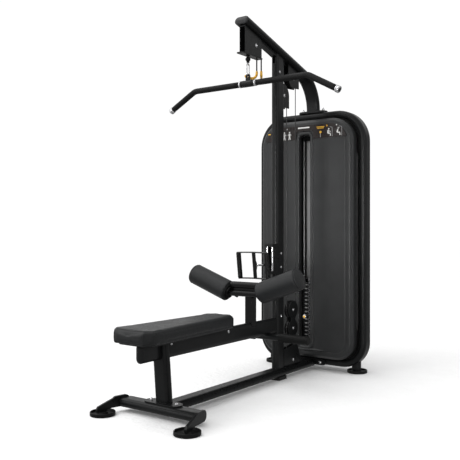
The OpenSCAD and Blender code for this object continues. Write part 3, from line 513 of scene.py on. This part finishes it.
def make_seat():
    """Cushion with a rounded top edge, swollen by simulation, and its seams."""
    lo, hi = SEAT
    z0, z1 = lo.z, hi.z
    wall = 0.003
    steps = [(wall, z0), (wall, z1 - 0.018), (wall + 0.0025, z1 - 0.0105), (wall + 0.008, z1 - 0.0045),
             (wall + 0.015, z1 - 0.0025), (wall + 0.05, z1 - 0.0025)]
    pad = piece("seat_cushion", *loft([seat_ring(inset, z) for inset, z in steps]), "upholstery", None,
                replaces=["seat_pad"])
    inflate(pad, 0.0045, 0.003, 2.0)
    for v in pad.data.vertices:
        if v.co.z < z0:
            v.co.z = z0
    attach(pad, "root")
    seams = []
    for inset, z in ((0.012, z1 + 0.01), (-0.01, z0 + 0.010)):
        ring = seat_ring(inset, z)
        ring.append(ring[0])
        seams.append(tube(on_surface(pad, ring, 0.0002), 0.0011, 8))
    for sx in (-1, 1):
        for half, y, way in ((hi.x, lo.y, 1), (SEAT_REAR_HALF, hi.y, -1)):
            for x, corner_y in ((half, y + way * SEAT_CUT), (half - SEAT_CUT, y)):
                path = [(sx * x, corner_y, z0 + 0.012 + (z1 - z0 - 0.026) * t / 12) for t in range(13)]
                seams.append(tube(on_surface(pad, path, 0.0001), 0.0009, 8))
    piece("seat_seams", *joined(seams), "upholstery", look="seam")


def make_roller(side):
    """Padded roller swollen by simulation, with seams, an end cap and the disc at its inner end."""
    body = JOINT_BODY[side + "_roller_spin"]
    sign = 1 if side == "right" else -1
    rise = math.radians(ROLLER_RISE_DEG)
    axis = Vector((sign * math.cos(rise), 0, math.sin(rise)))
    at = Vector((sign * 0.118, 0.016, 0.599))
    r, end = ROLLER_R, ROLLER_LENGTH
    profile = [(0.001, 0.030), (0.0015, r - 0.006), (0.003, r - 0.002), (0.007, r)]
    profile += [(0.007 + (end - 0.014) * k / 24, r) for k in range(1, 24)]
    profile += [(end - 0.007, r), (end - 0.002, r - 0.002), (end, r - 0.006), (end + 0.001, 0.030)]
    pad = piece(side + "_roller_pad", *lathe(profile, at, axis, 72), "upholstery", None,
                replaces=[side + "_roller"])
    inflate(pad, 0.005, 0.002, 2.0)
    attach(pad, body)
    # seams round both ends and along the side that faces away from the user
    seams = []
    outside = 0.070
    u = axis.orthogonal().normalized()
    v = axis.cross(u)
    for d in (0.005, end - 0.004):
        ring = [at + axis * d + outside * (math.cos(a) * u + math.sin(a) * v)
                for a in (2 * math.pi * k / 72 for k in range(73))]
        seams.append(tube(on_surface(pad, ring, 0.0001), 0.0011, 8))
    away = Vector((0, 1, -0.3)).normalized() * outside
    path = [at + axis * (0.008 + (end - 0.016) * k / 40) + away for k in range(41)]
    seams.append(tube(on_surface(pad, path, 0.0001), 0.0009, 8))
    cap = lathe([(end - 0.003, 0.0600), (end + 0.0015, 0.0612), (end + 0.0032, 0.0600),
                 (end + 0.0044, 0.0570), (end + 0.0070, 0.040), (end + 0.0086, 0.020),
                 (end + 0.0090, 0.0)], at, axis, 64)
    piece(side + "_roller_cap", *cap, "upholstery", body)
    piece(side + "_roller_seams", *joined(seams), "upholstery", body, look="seam")
    inner = lathe([(-0.006, 0.0135), (-0.006, 0.047), (-0.004, 0.052), (0.003, 0.054), (0.003, 0.0135)],
                  at, axis, 64)
    collar = lathe([(-0.0105, 0.0132), (-0.0105, 0.022), (-0.009, 0.024), (-0.0065, 0.024),
                    (-0.0065, 0.0132)], at, axis, 48)
    piece(side + "_roller_disc", *joined([inner, collar]), "plastic_black", body, look="rubber",
          flat_angle=40)


# ---- Tower ----

FACE_Y = 0.750
RIM_Y = 0.844
HW, Z0, Z1, R_TOP, R_LOW = 0.362, 0.093, 1.744, 0.166, 0.126
SLOT_HW, SLOT_Z0, SLOT_Z1, SLOT_R = 0.043, 0.172, 1.640, 0.020
PRINT_LIFT = 0.0062
LINE_LIFT = 0.0061


def shroud_ring(d, y):
    """Outline of the front cover, drawn in by d, at depth y."""
    return [Vector((x, y, z)) for x, z in outline(HW - d, Z0 + d, Z1 - d, R_TOP - d, R_LOW - d)]


def slot_ring(m, y):
    """Outline of the slot in the front cover, widened by m, at depth y."""
    shape = outline(SLOT_HW + m, SLOT_Z0 - m, SLOT_Z1 + m, SLOT_R + m, SLOT_R + m)
    return [Vector((x, y, z)) for x, z in shape]


def make_front_shroud():
    """One skin: round the rim, over a groove, across the bulging face and down into the slot."""
    rings = [shroud_ring(d, y) for d, y in (
        (0.004, RIM_Y - 0.001), (0.0, RIM_Y - 0.004), (0.0, 0.800), (0.0, 0.7745), (0.0015, 0.769),
        (0.0055, 0.7645), (0.010, 0.7620), (0.0115, 0.7605), (0.013, 0.7570), (0.0165, 0.7530),
        (0.022, 0.7510), (0.029, 0.7503), (0.040, 0.7502), (0.046, 0.7506), (0.049, 0.7520),
        (0.052, 0.7522), (0.056, 0.7506), (0.062, 0.7500))]
    inner = shroud_ring(0.062, FACE_Y)
    outer = slot_ring(0.034, FACE_Y)
    for k in range(1, 16):
        t = k / 16
        bulge = 0.0055 * math.sin(math.pi * t) ** 1.5
        rings.append([Vector((a.x + (b.x - a.x) * t, FACE_Y - bulge, a.z + (b.z - a.z) * t))
                      for a, b in zip(inner, outer)])
    rings += [slot_ring(m, y) for m, y in (
        (0.034, 0.7502), (0.030, 0.7512), (0.026, 0.7515), (0.0235, 0.7505), (0.022, 0.7475),
        (0.0205, 0.7445), (0.0175, 0.7427), (0.013, 0.7422), (0.008, 0.7424), (0.0035, 0.7440),
        (0.0008, 0.7475), (0.0, 0.752), (0.0, 0.770), (0.0, 0.7855), (0.003, 0.786))]
    shell = piece("tower_front_cover", *loft(rings, False, False), "shroud_grey",
                  replaces=["front_shroud"])
    skin = shell.modifiers.new("skin", "SOLIDIFY")
    skin.thickness = 0.003
    skin.offset = -1


def make_rear_panel():
    """Raised panel, ribs and screws on the back of the tower."""
    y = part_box("rear_shroud")[1].y

    def ring(d, at_y):
        shape = outline(0.300 - d, 0.18 + d, 1.66 - d, 0.11 - d, 0.09 - d)
        return [Vector((x, at_y, z)) for x, z in shape]

    steps = [(0, y - 0.001), (0, y + 0.0015), (0.003, y + 0.004), (0.009, y + 0.005), (0.016, y + 0.005),
             (0.020, y + 0.0035), (0.026, y + 0.003), (0.06, y + 0.003)]
    piece("rear_panel", *loft([ring(d, at_y) for d, at_y in steps]), "shroud_grey")
    rib_pitch = 0.052
    ribs = []
    for k in range(-4, 5):
        x = k * rib_pitch
        ribs.append(tube(line((x, y + 0.002, 0.34), (x, y + 0.002, 1.50), 8), 0.0042, 12))
    piece("rear_ribs", *joined(ribs), "shroud_grey")
    heads = []
    for x in (-0.335, 0.335):
        for z in (0.30, 0.92, 1.54):
            heads.append(button((x, y, z), (0, 1, 0), 0.008))
    piece("rear_screws", *joined(heads), "chrome", look="steel_black", flat_angle=35)


def make_corner_gap_shade():
    """Thin dark strips in the rubber material that close the gap between the front cover and the ring at its
    corners: painted shade for the dark gap, where the background would show through.
    """
    # angle round the corner, and a slide that carries each end on along the straight
    turns = [(0, 0, -0.08)] + [(6 * k, 0, 0) for k in range(16)] + [(90, -0.05, 0)]
    parts = []
    for sx in (-1, 1):
        for cx, cz, up, r0, r1 in ((0.199, 1.580, 1, 0.158, 0.175), (0.239, 0.217, -1, 0.118, 0.133)):
            rings = []
            for a, slide_x, slide_z in turns:
                c, s = math.cos(math.radians(a)), math.sin(math.radians(a))
                rings.append([Vector((sx * (cx + r * c + slide_x), y, cz + up * (r * s + slide_z)))
                              for r, y in ((r0, 0.8465), (r1, 0.8465), (r1, 0.8490), (r0, 0.8490))])
            parts.append(loft(rings))
    # dark strips as painted shade in the corner gaps
    piece("corner_gap_shade", *joined(parts), "rubber", smooth=False)


def make_lit_panel():
    """Light grey panel behind the stack, seen through the slot, with folded edges; its light grey is painted light
    for the light that falls through the slot onto the inside of the dark rear cover.
    """
    y = 0.955
    section = [(-0.110, y - 0.014), (-0.107, y - 0.004), (-0.103, y), (0.103, y), (0.107, y - 0.004),
               (0.110, y - 0.014), (0.107, y - 0.014), (0.104, y - 0.006), (0.101, y - 0.003),
               (-0.101, y - 0.003), (-0.104, y - 0.006), (-0.107, y - 0.014)]
    rings = [[Vector((x, at_y, 0.135 + 0.0395 * k)) for x, at_y in section] for k in range(41)]
    piece("slot_lit_panel", *loft(rings), "shroud_grey", look="lit_panel_and_print", smooth=False)


def on_face(x, z, lift):
    return Vector((x, FACE_Y - lift, z))


def flat_shape(points, lift, thick=0.0006):
    """A thin plate on the shroud's face, given by its outline in x and z."""
    back = [on_face(x, z, lift) for x, z in points]
    front = [on_face(x, z, lift + thick) for x, z in points]
    return loft([back, front])


def disc_shape(cx, cz, r):
    return flat_shape([(cx + r * math.cos(2 * math.pi * k / 16), cz + r * math.sin(2 * math.pi * k / 16))
                       for k in range(16)], PRINT_LIFT)


def stroke(a, b, width, lift=PRINT_LIFT):
    a, b = Vector(a), Vector(b)
    along = (b - a).normalized() * width / 2
    side = Vector((-along.y, along.x))
    return flat_shape([a - side, b - side, b + side, a + side], lift)


def figure(cx, cz, k, limbs):
    """A little figure of strokes and a round head, enlarged k times."""
    parts = [disc_shape(cx, cz + 0.021 * k, 0.0045 * k)]
    for a, b, w in limbs:
        parts.append(stroke((cx + a[0] * k, cz + a[1] * k), (cx + b[0] * k, cz + b[1] * k), w * k))
    return parts


def make_placard():
    """Dark instruction band across the top of the cover, with generic figures."""
    low = 1.610
    shape = outline(HW - 0.036, Z0 + 0.036, Z1 - 0.040, R_TOP - 0.036, R_LOW - 0.036)
    half = sorted([p for p in shape if p[1] > low and p[0] >= 0], key=lambda p: (-p[0], p[1]))
    edge = [(half[0][0], low)] + half
    left = [(-x, z) for x, z in reversed(edge)]
    gap = 0.068
    notch = [(-gap, low), (-gap, 1.655), (-gap + 0.012, 1.667), (gap - 0.012, 1.667), (gap, 1.655),
             (gap, low)]
    piece("placard", *flat_shape(edge + left + notch, -0.0005, 0.0067), "shroud_grey", look="placard",
          smooth=False)
    trunk_and_legs = [((-0.004, 0.014), (-0.006, -0.004), 0.009),
                      ((-0.006, -0.004), (0.010, -0.004), 0.006),
                      ((0.010, -0.004), (0.011, -0.020), 0.005)]
    sitting = trunk_and_legs + [((-0.003, 0.012), (0.012, 0.005), 0.004)]
    pulling = trunk_and_legs + [((-0.003, 0.012), (0.006, 0.028), 0.004)]
    standing = [((0, 0.015), (0, -0.004), 0.010), ((-0.001, -0.004), (-0.006, -0.024), 0.005),
                ((0.001, -0.004), (0.006, -0.024), 0.005), ((0, 0.012), (-0.012, 0.004), 0.004),
                ((0, 0.012), (0.012, 0.004), 0.004)]
    white, amber, grey = [], [], []
    for cx in (-0.205, -0.163, -0.121):
        white += figure(cx, 1.642, 1.15, standing)
    for cx, limbs in ((0.190, sitting), (0.262, pulling)):
        white += figure(cx, 1.642, 1.15, limbs)
        grey += [stroke((cx + 0.026, 1.615), (cx + 0.026, 1.676), 0.0028, LINE_LIFT),
                 stroke((cx + 0.026, 1.676), (cx + 0.008, 1.681), 0.0026, LINE_LIFT)]
    white += [disc_shape(x, 1.690, 0.0042) for x in (-0.142, 0.249)]
    amber += [disc_shape(0.176, 1.690, 0.0055), disc_shape(0.126, 1.650, 0.0085)]
    for z, w in ((1.686, 0.030), (1.677, 0.026)):
        amber.append(stroke((0.126 - w, z), (0.126 + w, z), 0.0055))
    amber.append(stroke((-0.300, 1.664), (-0.280, 1.664), 0.0075))
    grey.append(stroke((0.126, 1.640), (0.126, 1.615), 0.004, LINE_LIFT))
    white.append(stroke((-0.052, 1.690), (0.040, 1.690), 0.0085))
    piece("placard_white", *joined(white), "shroud_grey", look="print_white", smooth=False)
    piece("placard_amber", *joined(amber), "pin_yellow", smooth=False)
    piece("placard_grey", *joined(grey), "shroud_grey", look="lit_panel_and_print", smooth=False)


def make_plate_marks():
    """A printed tab on each plate, and a pale band round its pin hole."""
    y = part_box("fixed_plates")[0].y
    pitch, first, count, fixed = 0.027, 0.117, 18, 9
    raised = 0.0008
    for name, body, plates in (("fixed", "root", range(fixed)), ("lifted", "stack", range(fixed, count))):
        tabs, bands = [], []
        for k in plates:
            z = first + k * pitch + 0.013
            pts = [(-0.036, z - 0.0042), (-0.019, z - 0.0042), (-0.017, z - 0.002), (-0.017, z + 0.002),
                   (-0.019, z + 0.0042), (-0.036, z + 0.0042), (-0.038, z + 0.002), (-0.038, z - 0.002)]
            tabs.append(loft([[Vector((a, y - lift, b)) for a, b in pts] for lift in (0.0, raised)]))
            rings = []
            for r, lift in ((0.0125, 0.0), (0.0122, raised), (0.0062, raised), (0.0058, 0.0)):
                rings.append([Vector((r * math.cos(2 * math.pi * i / 32), y - lift,
                                      z + r * math.sin(2 * math.pi * i / 32))) for i in range(32)])
            bands.append(loft(rings + [rings[0]], False, False))
        piece(name + "_marks", *joined(tabs), "plate_black", body, look="print_grey", smooth=False)
        piece(name + "_bands", *joined(bands), "plate_black", body, look="plate_band", smooth=False)


def make_pin():
    """Selector pin: a shaft, a round knob and its amber centre."""
    lo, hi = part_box("selector_pin")
    at = (0.0, lo.y, (lo.z + hi.z) / 2)
    length = hi.y - lo.y
    shaft = lathe([(0.012, 0.005), (length - 0.002, 0.005), (length, 0.003)], at, (0, 1, 0), 24)
    knob = lathe([(0.0, 0.0085), (0.0006, 0.0115), (0.003, 0.0142), (0.007, 0.015), (0.020, 0.0145),
                  (0.024, 0.0125), (0.026, 0.009), (0.026, 0.005)], at, (0, 1, 0), 40)
    piece("pin_metal", *joined([shaft, knob]), "chrome", "pin", replaces=["selector_pin"])
    dome = lathe([(-0.0035, 0.0), (-0.003, 0.004), (-0.0015, 0.0078), (0.0005, 0.0095), (0.002, 0.0095)],
                 at, (0, 1, 0), 32)
    piece("pin_centre", *dome, "pin_yellow", "pin")


# ---- Frame details ----

AXLE_HEAD_R = 0.0092
BOOM_SLOPE_DEG = 15.75


def button(at, normal, r, h=0.0055):
    """Domed bolt head of radius r and height h with a hexagonal socket, on a washer."""
    normal = Vector(normal).normalized()
    side = normal.orthogonal().normalized()
    up = normal.cross(side)
    at = Vector(at)

    def ring(d, radius, hexagon=False):
        out = []
        for k in range(24):
            a = 2 * math.pi * k / 24
            reach = radius
            if hexagon:
                reach *= math.cos(math.pi / 6) / math.cos((a % (math.pi / 3)) - math.pi / 6)
            out.append(at + normal * d + reach * (math.cos(a) * side + math.sin(a) * up))
        return out

    return loft([ring(0, r * 1.22), ring(0.0014, r * 1.22), ring(0.0016, r), ring(h * 0.55, r * 0.97),
                 ring(h * 0.85, r * 0.80), ring(h, r * 0.55), ring(h * 0.98, r * 0.46, True),
                 ring(h * 0.45, r * 0.44, True)])


def head_pair(half, y, z, r):
    """Bolt heads on both sides of a part that is twice half wide."""
    return [button((s * half, y, z), (s, 0, 0), r) for s in (-1, 1)]


def axle(half, y, z):
    return tube([(-half, y, z), (half, y, z)], 0.006, 20)


def make_bolts():
    """Axles and bolt heads in place of the plain CAD bolts."""
    heads, rods, dark = [], [], []
    boom_fall = math.tan(math.radians(BOOM_SLOPE_DEG))
    for y, z, half in ((0.110, 2.125, 0.022), (0.563, 2.125 - boom_fall * 0.453, 0.021),
                       (0.449, 1.866, 0.018), (0.563, 0.105, 0.018), (0.9125, 1.690, 0.018)):
        rods.append(axle(half, y, z))
        heads += head_pair(half, y, z, AXLE_HEAD_R)
    rods.append(axle(0.0297, 0.352, 0.797))
    dark += head_pair(0.0297, 0.352, 0.797, AXLE_HEAD_R)
    lo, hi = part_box("tower_bottom_pulley")
    centre = (lo + hi) / 2
    rods.append(axle(0.0129, centre.y, centre.z))
    for y, z in ((-0.689, 0.386), (-0.183, 0.386), (0.398, 0.416), (0.398, 0.825), (0.398, 0.736),
                 (0.380, 2.009)):
        heads += head_pair(0.025, y, z, 0.0075)
    for s in (-1, 1):
        stud = (s * 0.080, 0.870, 1.816)
        heads.append(button((s * 0.088, -0.721, 0.0805), (0, 0, 1), 0.0085, 0.009))
        rods.append(lathe([(0, 0.0055), (0.022, 0.0055), (0.0235, 0.0045), (0.024, 0.003)],
                          stud, (0, 0, 1), 20))
        rods.append(lathe([(0, 0.0120), (0.0018, 0.0120), (0.002, 0.0098), (0.0125, 0.0098),
                           (0.0138, 0.0085), (0.0138, 0.0056)], stud, (0, 0, 1), 6))
        heads.append(button((s * 0.088, 0.808, 0.056), (0, -1, 0), 0.0085))
    rods.append(lathe([(0, 0.0065), (0.016, 0.0065), (0.019, 0.005), (0.020, 0.003)],
                      (0, 0.620, 0.192), (0, 0, 1), 20))
    piece("axle_rods", *joined(rods), "chrome")
    piece("row_axle_heads", *joined(dark), "chrome", look="steel_black", flat_angle=35)
    piece("bolt_heads", *joined(heads), "chrome", replaces=["frame_bolts"], flat_angle=35)


def make_block_bolts():
    """Axles and heads of the travelling block's two pulleys."""
    heads, rods = [], []
    for z in (0.440, 0.317):
        rods.append(axle(0.018, 0.563, z))
        heads += head_pair(0.018, 0.563, z, AXLE_HEAD_R)
    piece("block_bolts", *joined(heads + rods), "chrome", "travelling_block", replaces=["block_axles"],
          flat_angle=35)


def oval_ring(width, thick):
    """Flat oval as 2-D points, long side first."""
    pts = []
    centre = (width - thick) / 2
    for s, a0 in ((1, -90), (-1, 90)):
        for k in range(15):
            a = math.radians(a0 + 180 * k / 14)
            pts.append((s * centre + thick / 2 * math.cos(a), thick / 2 * math.sin(a)))
    return pts


def domed_cap(name, base, u, v, out, skirt, dome, replaced, look):
    """Plastic cap on the end of a flat-oval tube: a skirt, a rounded edge and a domed face."""
    width, thick = 0.100, 0.050
    base, u, v, out = (Vector(q) for q in (base, u, v, out))
    steps = [(-0.002, 0.0), (skirt * 0.2, 0.0), (skirt - 0.007, 0.0), (skirt - 0.003, 0.0012),
             (skirt, 0.0045), (skirt + dome * 0.45, 0.010), (skirt + dome * 0.8, 0.0165),
             (skirt + dome, 0.0225)]
    rings = []
    for d, inset in steps:
        ring = oval_ring(width - 2 * inset, thick - 2 * inset)
        rings.append([base + out * d + u * a + v * b for a, b in ring])
    piece(name, *loft(rings), "plastic_black", replaces=[replaced], look=look)


def make_caps():
    domed_cap("seat_beam_cap", (0, -0.777, 0.358), (0, 0, 1), (1, 0, 0), (0, -1, 0), 0.130, 0.011,
              "seat_beam_end_cap", "plastic_black")
    slope = math.radians(BOOM_SLOPE_DEG)
    along = Vector((0, math.cos(slope), -math.sin(slope)))
    up = Vector((0, math.sin(slope), math.cos(slope)))
    domed_cap("boom_cap", (0, -0.013, 2.255), (1, 0, 0), up, -along, 0.007, 0.004,
              "boom_end_cap", "boom_cap_grey")


def make_guide_plate():
    """Plate with eased edges that holds the hooks, and the bush that the lat cable runs through."""
    half = 0.023
    corners = [(-0.019, -0.038), (0.019, -0.038), (half, -0.034), (half, 0.181), (0.019, 0.185),
               (-0.019, 0.185), (-half, 0.181), (-half, -0.034)]
    plate = []
    for d, z in ((0.0007, 2.0525), (0, 2.0532), (0, 2.0588), (0.0007, 2.0595)):
        plate.append([Vector((x * (1 - d / half), y + (d if y < 0 else -d), z)) for x, y in corners])
    piece("guide_plate", *loft(plate), "steel_black", flat_angle=30)
    bush = lathe([(0, 0.0062), (0, 0.011), (0.0012, 0.0125), (0.004, 0.0125), (0.004, 0.0062)],
                 (0, 0.053, 2.0485), (0, 0, 1), 32)
    piece("guide_bush", *bush, "rubber")


def make_hooks():
    """Two bent rods with amber sleeves, and the guide plate they hang from."""
    rods, sleeves = [], []
    bend = 0.034
    for x, turn, z in ((-0.016, -34, 1.934), (0.018, 34, 1.931)):
        a = math.radians(turn)
        fwd = Vector((math.sin(a), -math.cos(a), 0))
        foot = Vector((x, 0.173, 0))

        def spot(forward, height):
            return foot + fwd * forward + Vector((0, 0, height))

        path = line(spot(0, 2.0525), spot(0, z + bend), 6)[:-1]
        curve = arc(spot(bend, z + bend), bend, 180, 270, fwd, (0, 0, 1), 14)
        run = line(spot(bend, z), spot(0.060, z + 0.001), 4)[1:]
        tip = [spot(0.067, z + 0.0035), spot(0.073, z + 0.008), spot(0.0765, z + 0.014)]
        rods.append(tube(path + curve + run + tip, 0.0045, 16))
        cover = [spot(0, z + bend + 0.014), spot(0, z + bend + 0.007)] + curve + run + tip
        cover.append(cover[-1] + (cover[-1] - cover[-2]).normalized() * 0.004)
        radii = [0.0060, 0.0078] + [0.0082] * (len(cover) - 4) + [0.0074, 0.0040]
        sleeves.append(tube(cover, radii, 20))
    piece("hook_rods", *joined(rods), "steel_black", replaces=["bar_hooks"])
    make_guide_plate()
    piece("hook_sleeves", *joined(sleeves), "pin_yellow")


# ---- Lat bar ----

BAR_Y, BAR_Z = 0.053, 1.881
BAR_BEND_X, BAR_TIP_X, BAR_DROP = 0.421, 0.621, 0.109
BAR_BEND_R = 0.075
BAR_R = 0.0125
GRIP_R = 0.0186


def bar_path(sign, x0, share):
    """Centre line of one half of the lat bar from x0 outwards, with a smooth bend."""
    slope = Vector((BAR_TIP_X - BAR_BEND_X, 0, -BAR_DROP))
    length = slope.length
    slope.normalize()
    angle = math.acos(slope.x)
    cut = BAR_BEND_R * math.tan(angle / 2)
    bend = Vector((BAR_BEND_X, BAR_Y, BAR_Z))
    pts = line((x0, BAR_Y, BAR_Z), (BAR_BEND_X - cut, BAR_Y, BAR_Z), 10)
    pts += arc((BAR_BEND_X - cut, BAR_Y, BAR_Z - BAR_BEND_R), BAR_BEND_R, 90, 90 - math.degrees(angle),
               (1, 0, 0), (0, 0, 1), 12)[1:]
    pts += line(bend + slope * cut, bend + slope * length * share, 8)[1:]
    return [Vector((sign * p.x, p.y, p.z)) for p in pts]


def make_lat_bar():
    """Chrome core with rings and end caps, and the rubber grips over it."""
    core, grips, caps = [], [], []
    for s in (-1, 1):
        core.append(tube(bar_path(s, 0.0, 1.0), BAR_R, 28))
        path = bar_path(s, 0.067, 0.925)
        first = path[0] + (path[0] - path[1]).normalized() * 0.0008
        last = path[-1] + (path[-1] - path[-2]).normalized() * 0.0008
        radii = [0.0150, 0.0178] + [GRIP_R] * (len(path) - 2) + [0.0178, 0.0150]
        grips.append(tube([first] + path + [last], radii, 32))
        core.append(lathe([(0, BAR_R), (0, 0.0190), (0.0015, 0.0208), (0.0100, 0.0208),
                           (0.0115, 0.0190), (0.0115, BAR_R)],
                          (s * 0.0505, BAR_Y, BAR_Z), (s, 0, 0), 40))
        slope = Vector((s * (BAR_TIP_X - BAR_BEND_X), 0, -BAR_DROP)).normalized()
        tip = Vector((s * BAR_TIP_X, BAR_Y, BAR_Z - BAR_DROP))
        core.append(lathe([(-0.020, BAR_R), (-0.019, 0.0190), (-0.0165, 0.0208), (-0.010, 0.0208),
                           (-0.0085, 0.0198), (-0.006, 0.0198), (-0.0045, 0.0212), (0.0035, 0.0212),
                           (0.0055, 0.0195), (0.006, 0.012)], tip, slope, 36))
        caps.append(lathe([(0.002, 0.0125), (0.0068, 0.0125), (0.0080, 0.007), (0.0083, 0.0)],
                          tip, slope, 28))
    piece("bar_core", *joined(core), "chrome", "lat_bar", replaces=["lat_bar"])
    piece("bar_tip_plugs", *joined(caps), "plastic_black", "lat_bar")
    piece("bar_rubber", *joined(grips), "rubber", "lat_bar", replaces=["bar_grips"])


def make_hanger():
    """Bearing sleeve with end collars round the bar."""
    r = 0.0205
    sleeve = lathe([(-0.050, 0.0128), (-0.050, r - 0.001), (-0.049, r), (-0.040, r), (-0.039, r - 0.002),
                    (-0.037, r - 0.002), (-0.036, r + 0.0006), (0.036, r + 0.0006), (0.037, r - 0.002),
                    (0.039, r - 0.002), (0.040, r), (0.049, r), (0.050, r - 0.001), (0.050, 0.0128)],
                   (0, BAR_Y, BAR_Z), (1, 0, 0), 48)
    piece("hanger_sleeve", *sleeve, "steel_black", "lat_hanger", flat_angle=40)


# ---- Rowing handle ----


def make_row_grips():
    """Two ribbed rubber grips that lean with the rowing handle."""
    lean = math.radians(7.5)
    axis = Vector((0, -math.sin(lean), math.cos(lean)))
    rib_pitch = 0.0048
    grips = []
    for s in (-1, 1):
        at = Vector((s * 0.105, 0.110, 0.757))
        profile = [(-0.078, 0.0138), (-0.0775, 0.0152)]
        d = -0.074
        while d < 0.0745:
            profile += [(d, 0.0154), (d + 0.0016, 0.0147), (d + 0.0032, 0.0154)]
            d += rib_pitch
        profile += [(0.0775, 0.0152), (0.078, 0.0138)]
        grips.append(lathe(profile, at, axis, 32))
    piece("row_grip_rubber", *joined(grips), "rubber", "row_grip")


# ---- Cables ----

CABLE_R = 0.0029
FRONT_Y, REAR_Y = 0.506, 0.620
BLOCK_TOP_Z, BLOCK_LOW_Z = 0.440, 0.317


def strand(name, a, b, replaces=()):
    """A straight length of cable from a on one body to b on the other."""
    a, b = Vector(a), Vector(b)
    obj = piece(name, *tube(line(a, b, 48), CABLE_R, 12), "cable", None, replaces=replaces)
    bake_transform(obj)


def make_cables():
    strand("lift_cable", (0, 0.870, 1.690), (0, 0.870, 0.645), ["lift_strand"])
    strand("rear_strand", (0, REAR_Y, 1.997), (0, REAR_Y, BLOCK_TOP_Z),
           ["block_cable_loops"])
    strand("front_strand", (0, FRONT_Y, 1.866), (0, FRONT_Y, BLOCK_TOP_Z))
    strand("low_front_strand", (0, FRONT_Y, 0.105), (0, FRONT_Y, BLOCK_LOW_Z))
    strand("low_rear_strand", (0, REAR_Y, 0.208), (0, REAR_Y, BLOCK_LOW_Z))
    loops = []
    for z, a0 in ((BLOCK_TOP_Z, 180), (BLOCK_LOW_Z, 0)):
        turn = arc((0, 0.563, z), 0.057, a0, a0 + 180, (0, 1, 0), (0, 0, 1), 40)
        loops.append(tube(turn, CABLE_R, 12))
    piece("block_loops", *joined(loops), "cable", "travelling_block")
    strand("lat_strand", (0, 0.053, 2.120), (0, 0.053, 2.036))
    strand("row_strand", (0, 0.345, 0.757), (0, 0.268, 0.757))


make_camera()
make_world()
make_floor()
make_lights()
make_card()
paint_cad_nodes()
make_seat()
make_roller("left")
make_roller("right")
make_front_shroud()
make_rear_panel()
make_lit_panel()
make_placard()
make_corner_gap_shade()
make_plate_marks()
make_pin()
make_bolts()
make_block_bolts()
make_caps()
make_hooks()
make_lat_bar()
make_hanger()
make_row_grips()
make_cables()
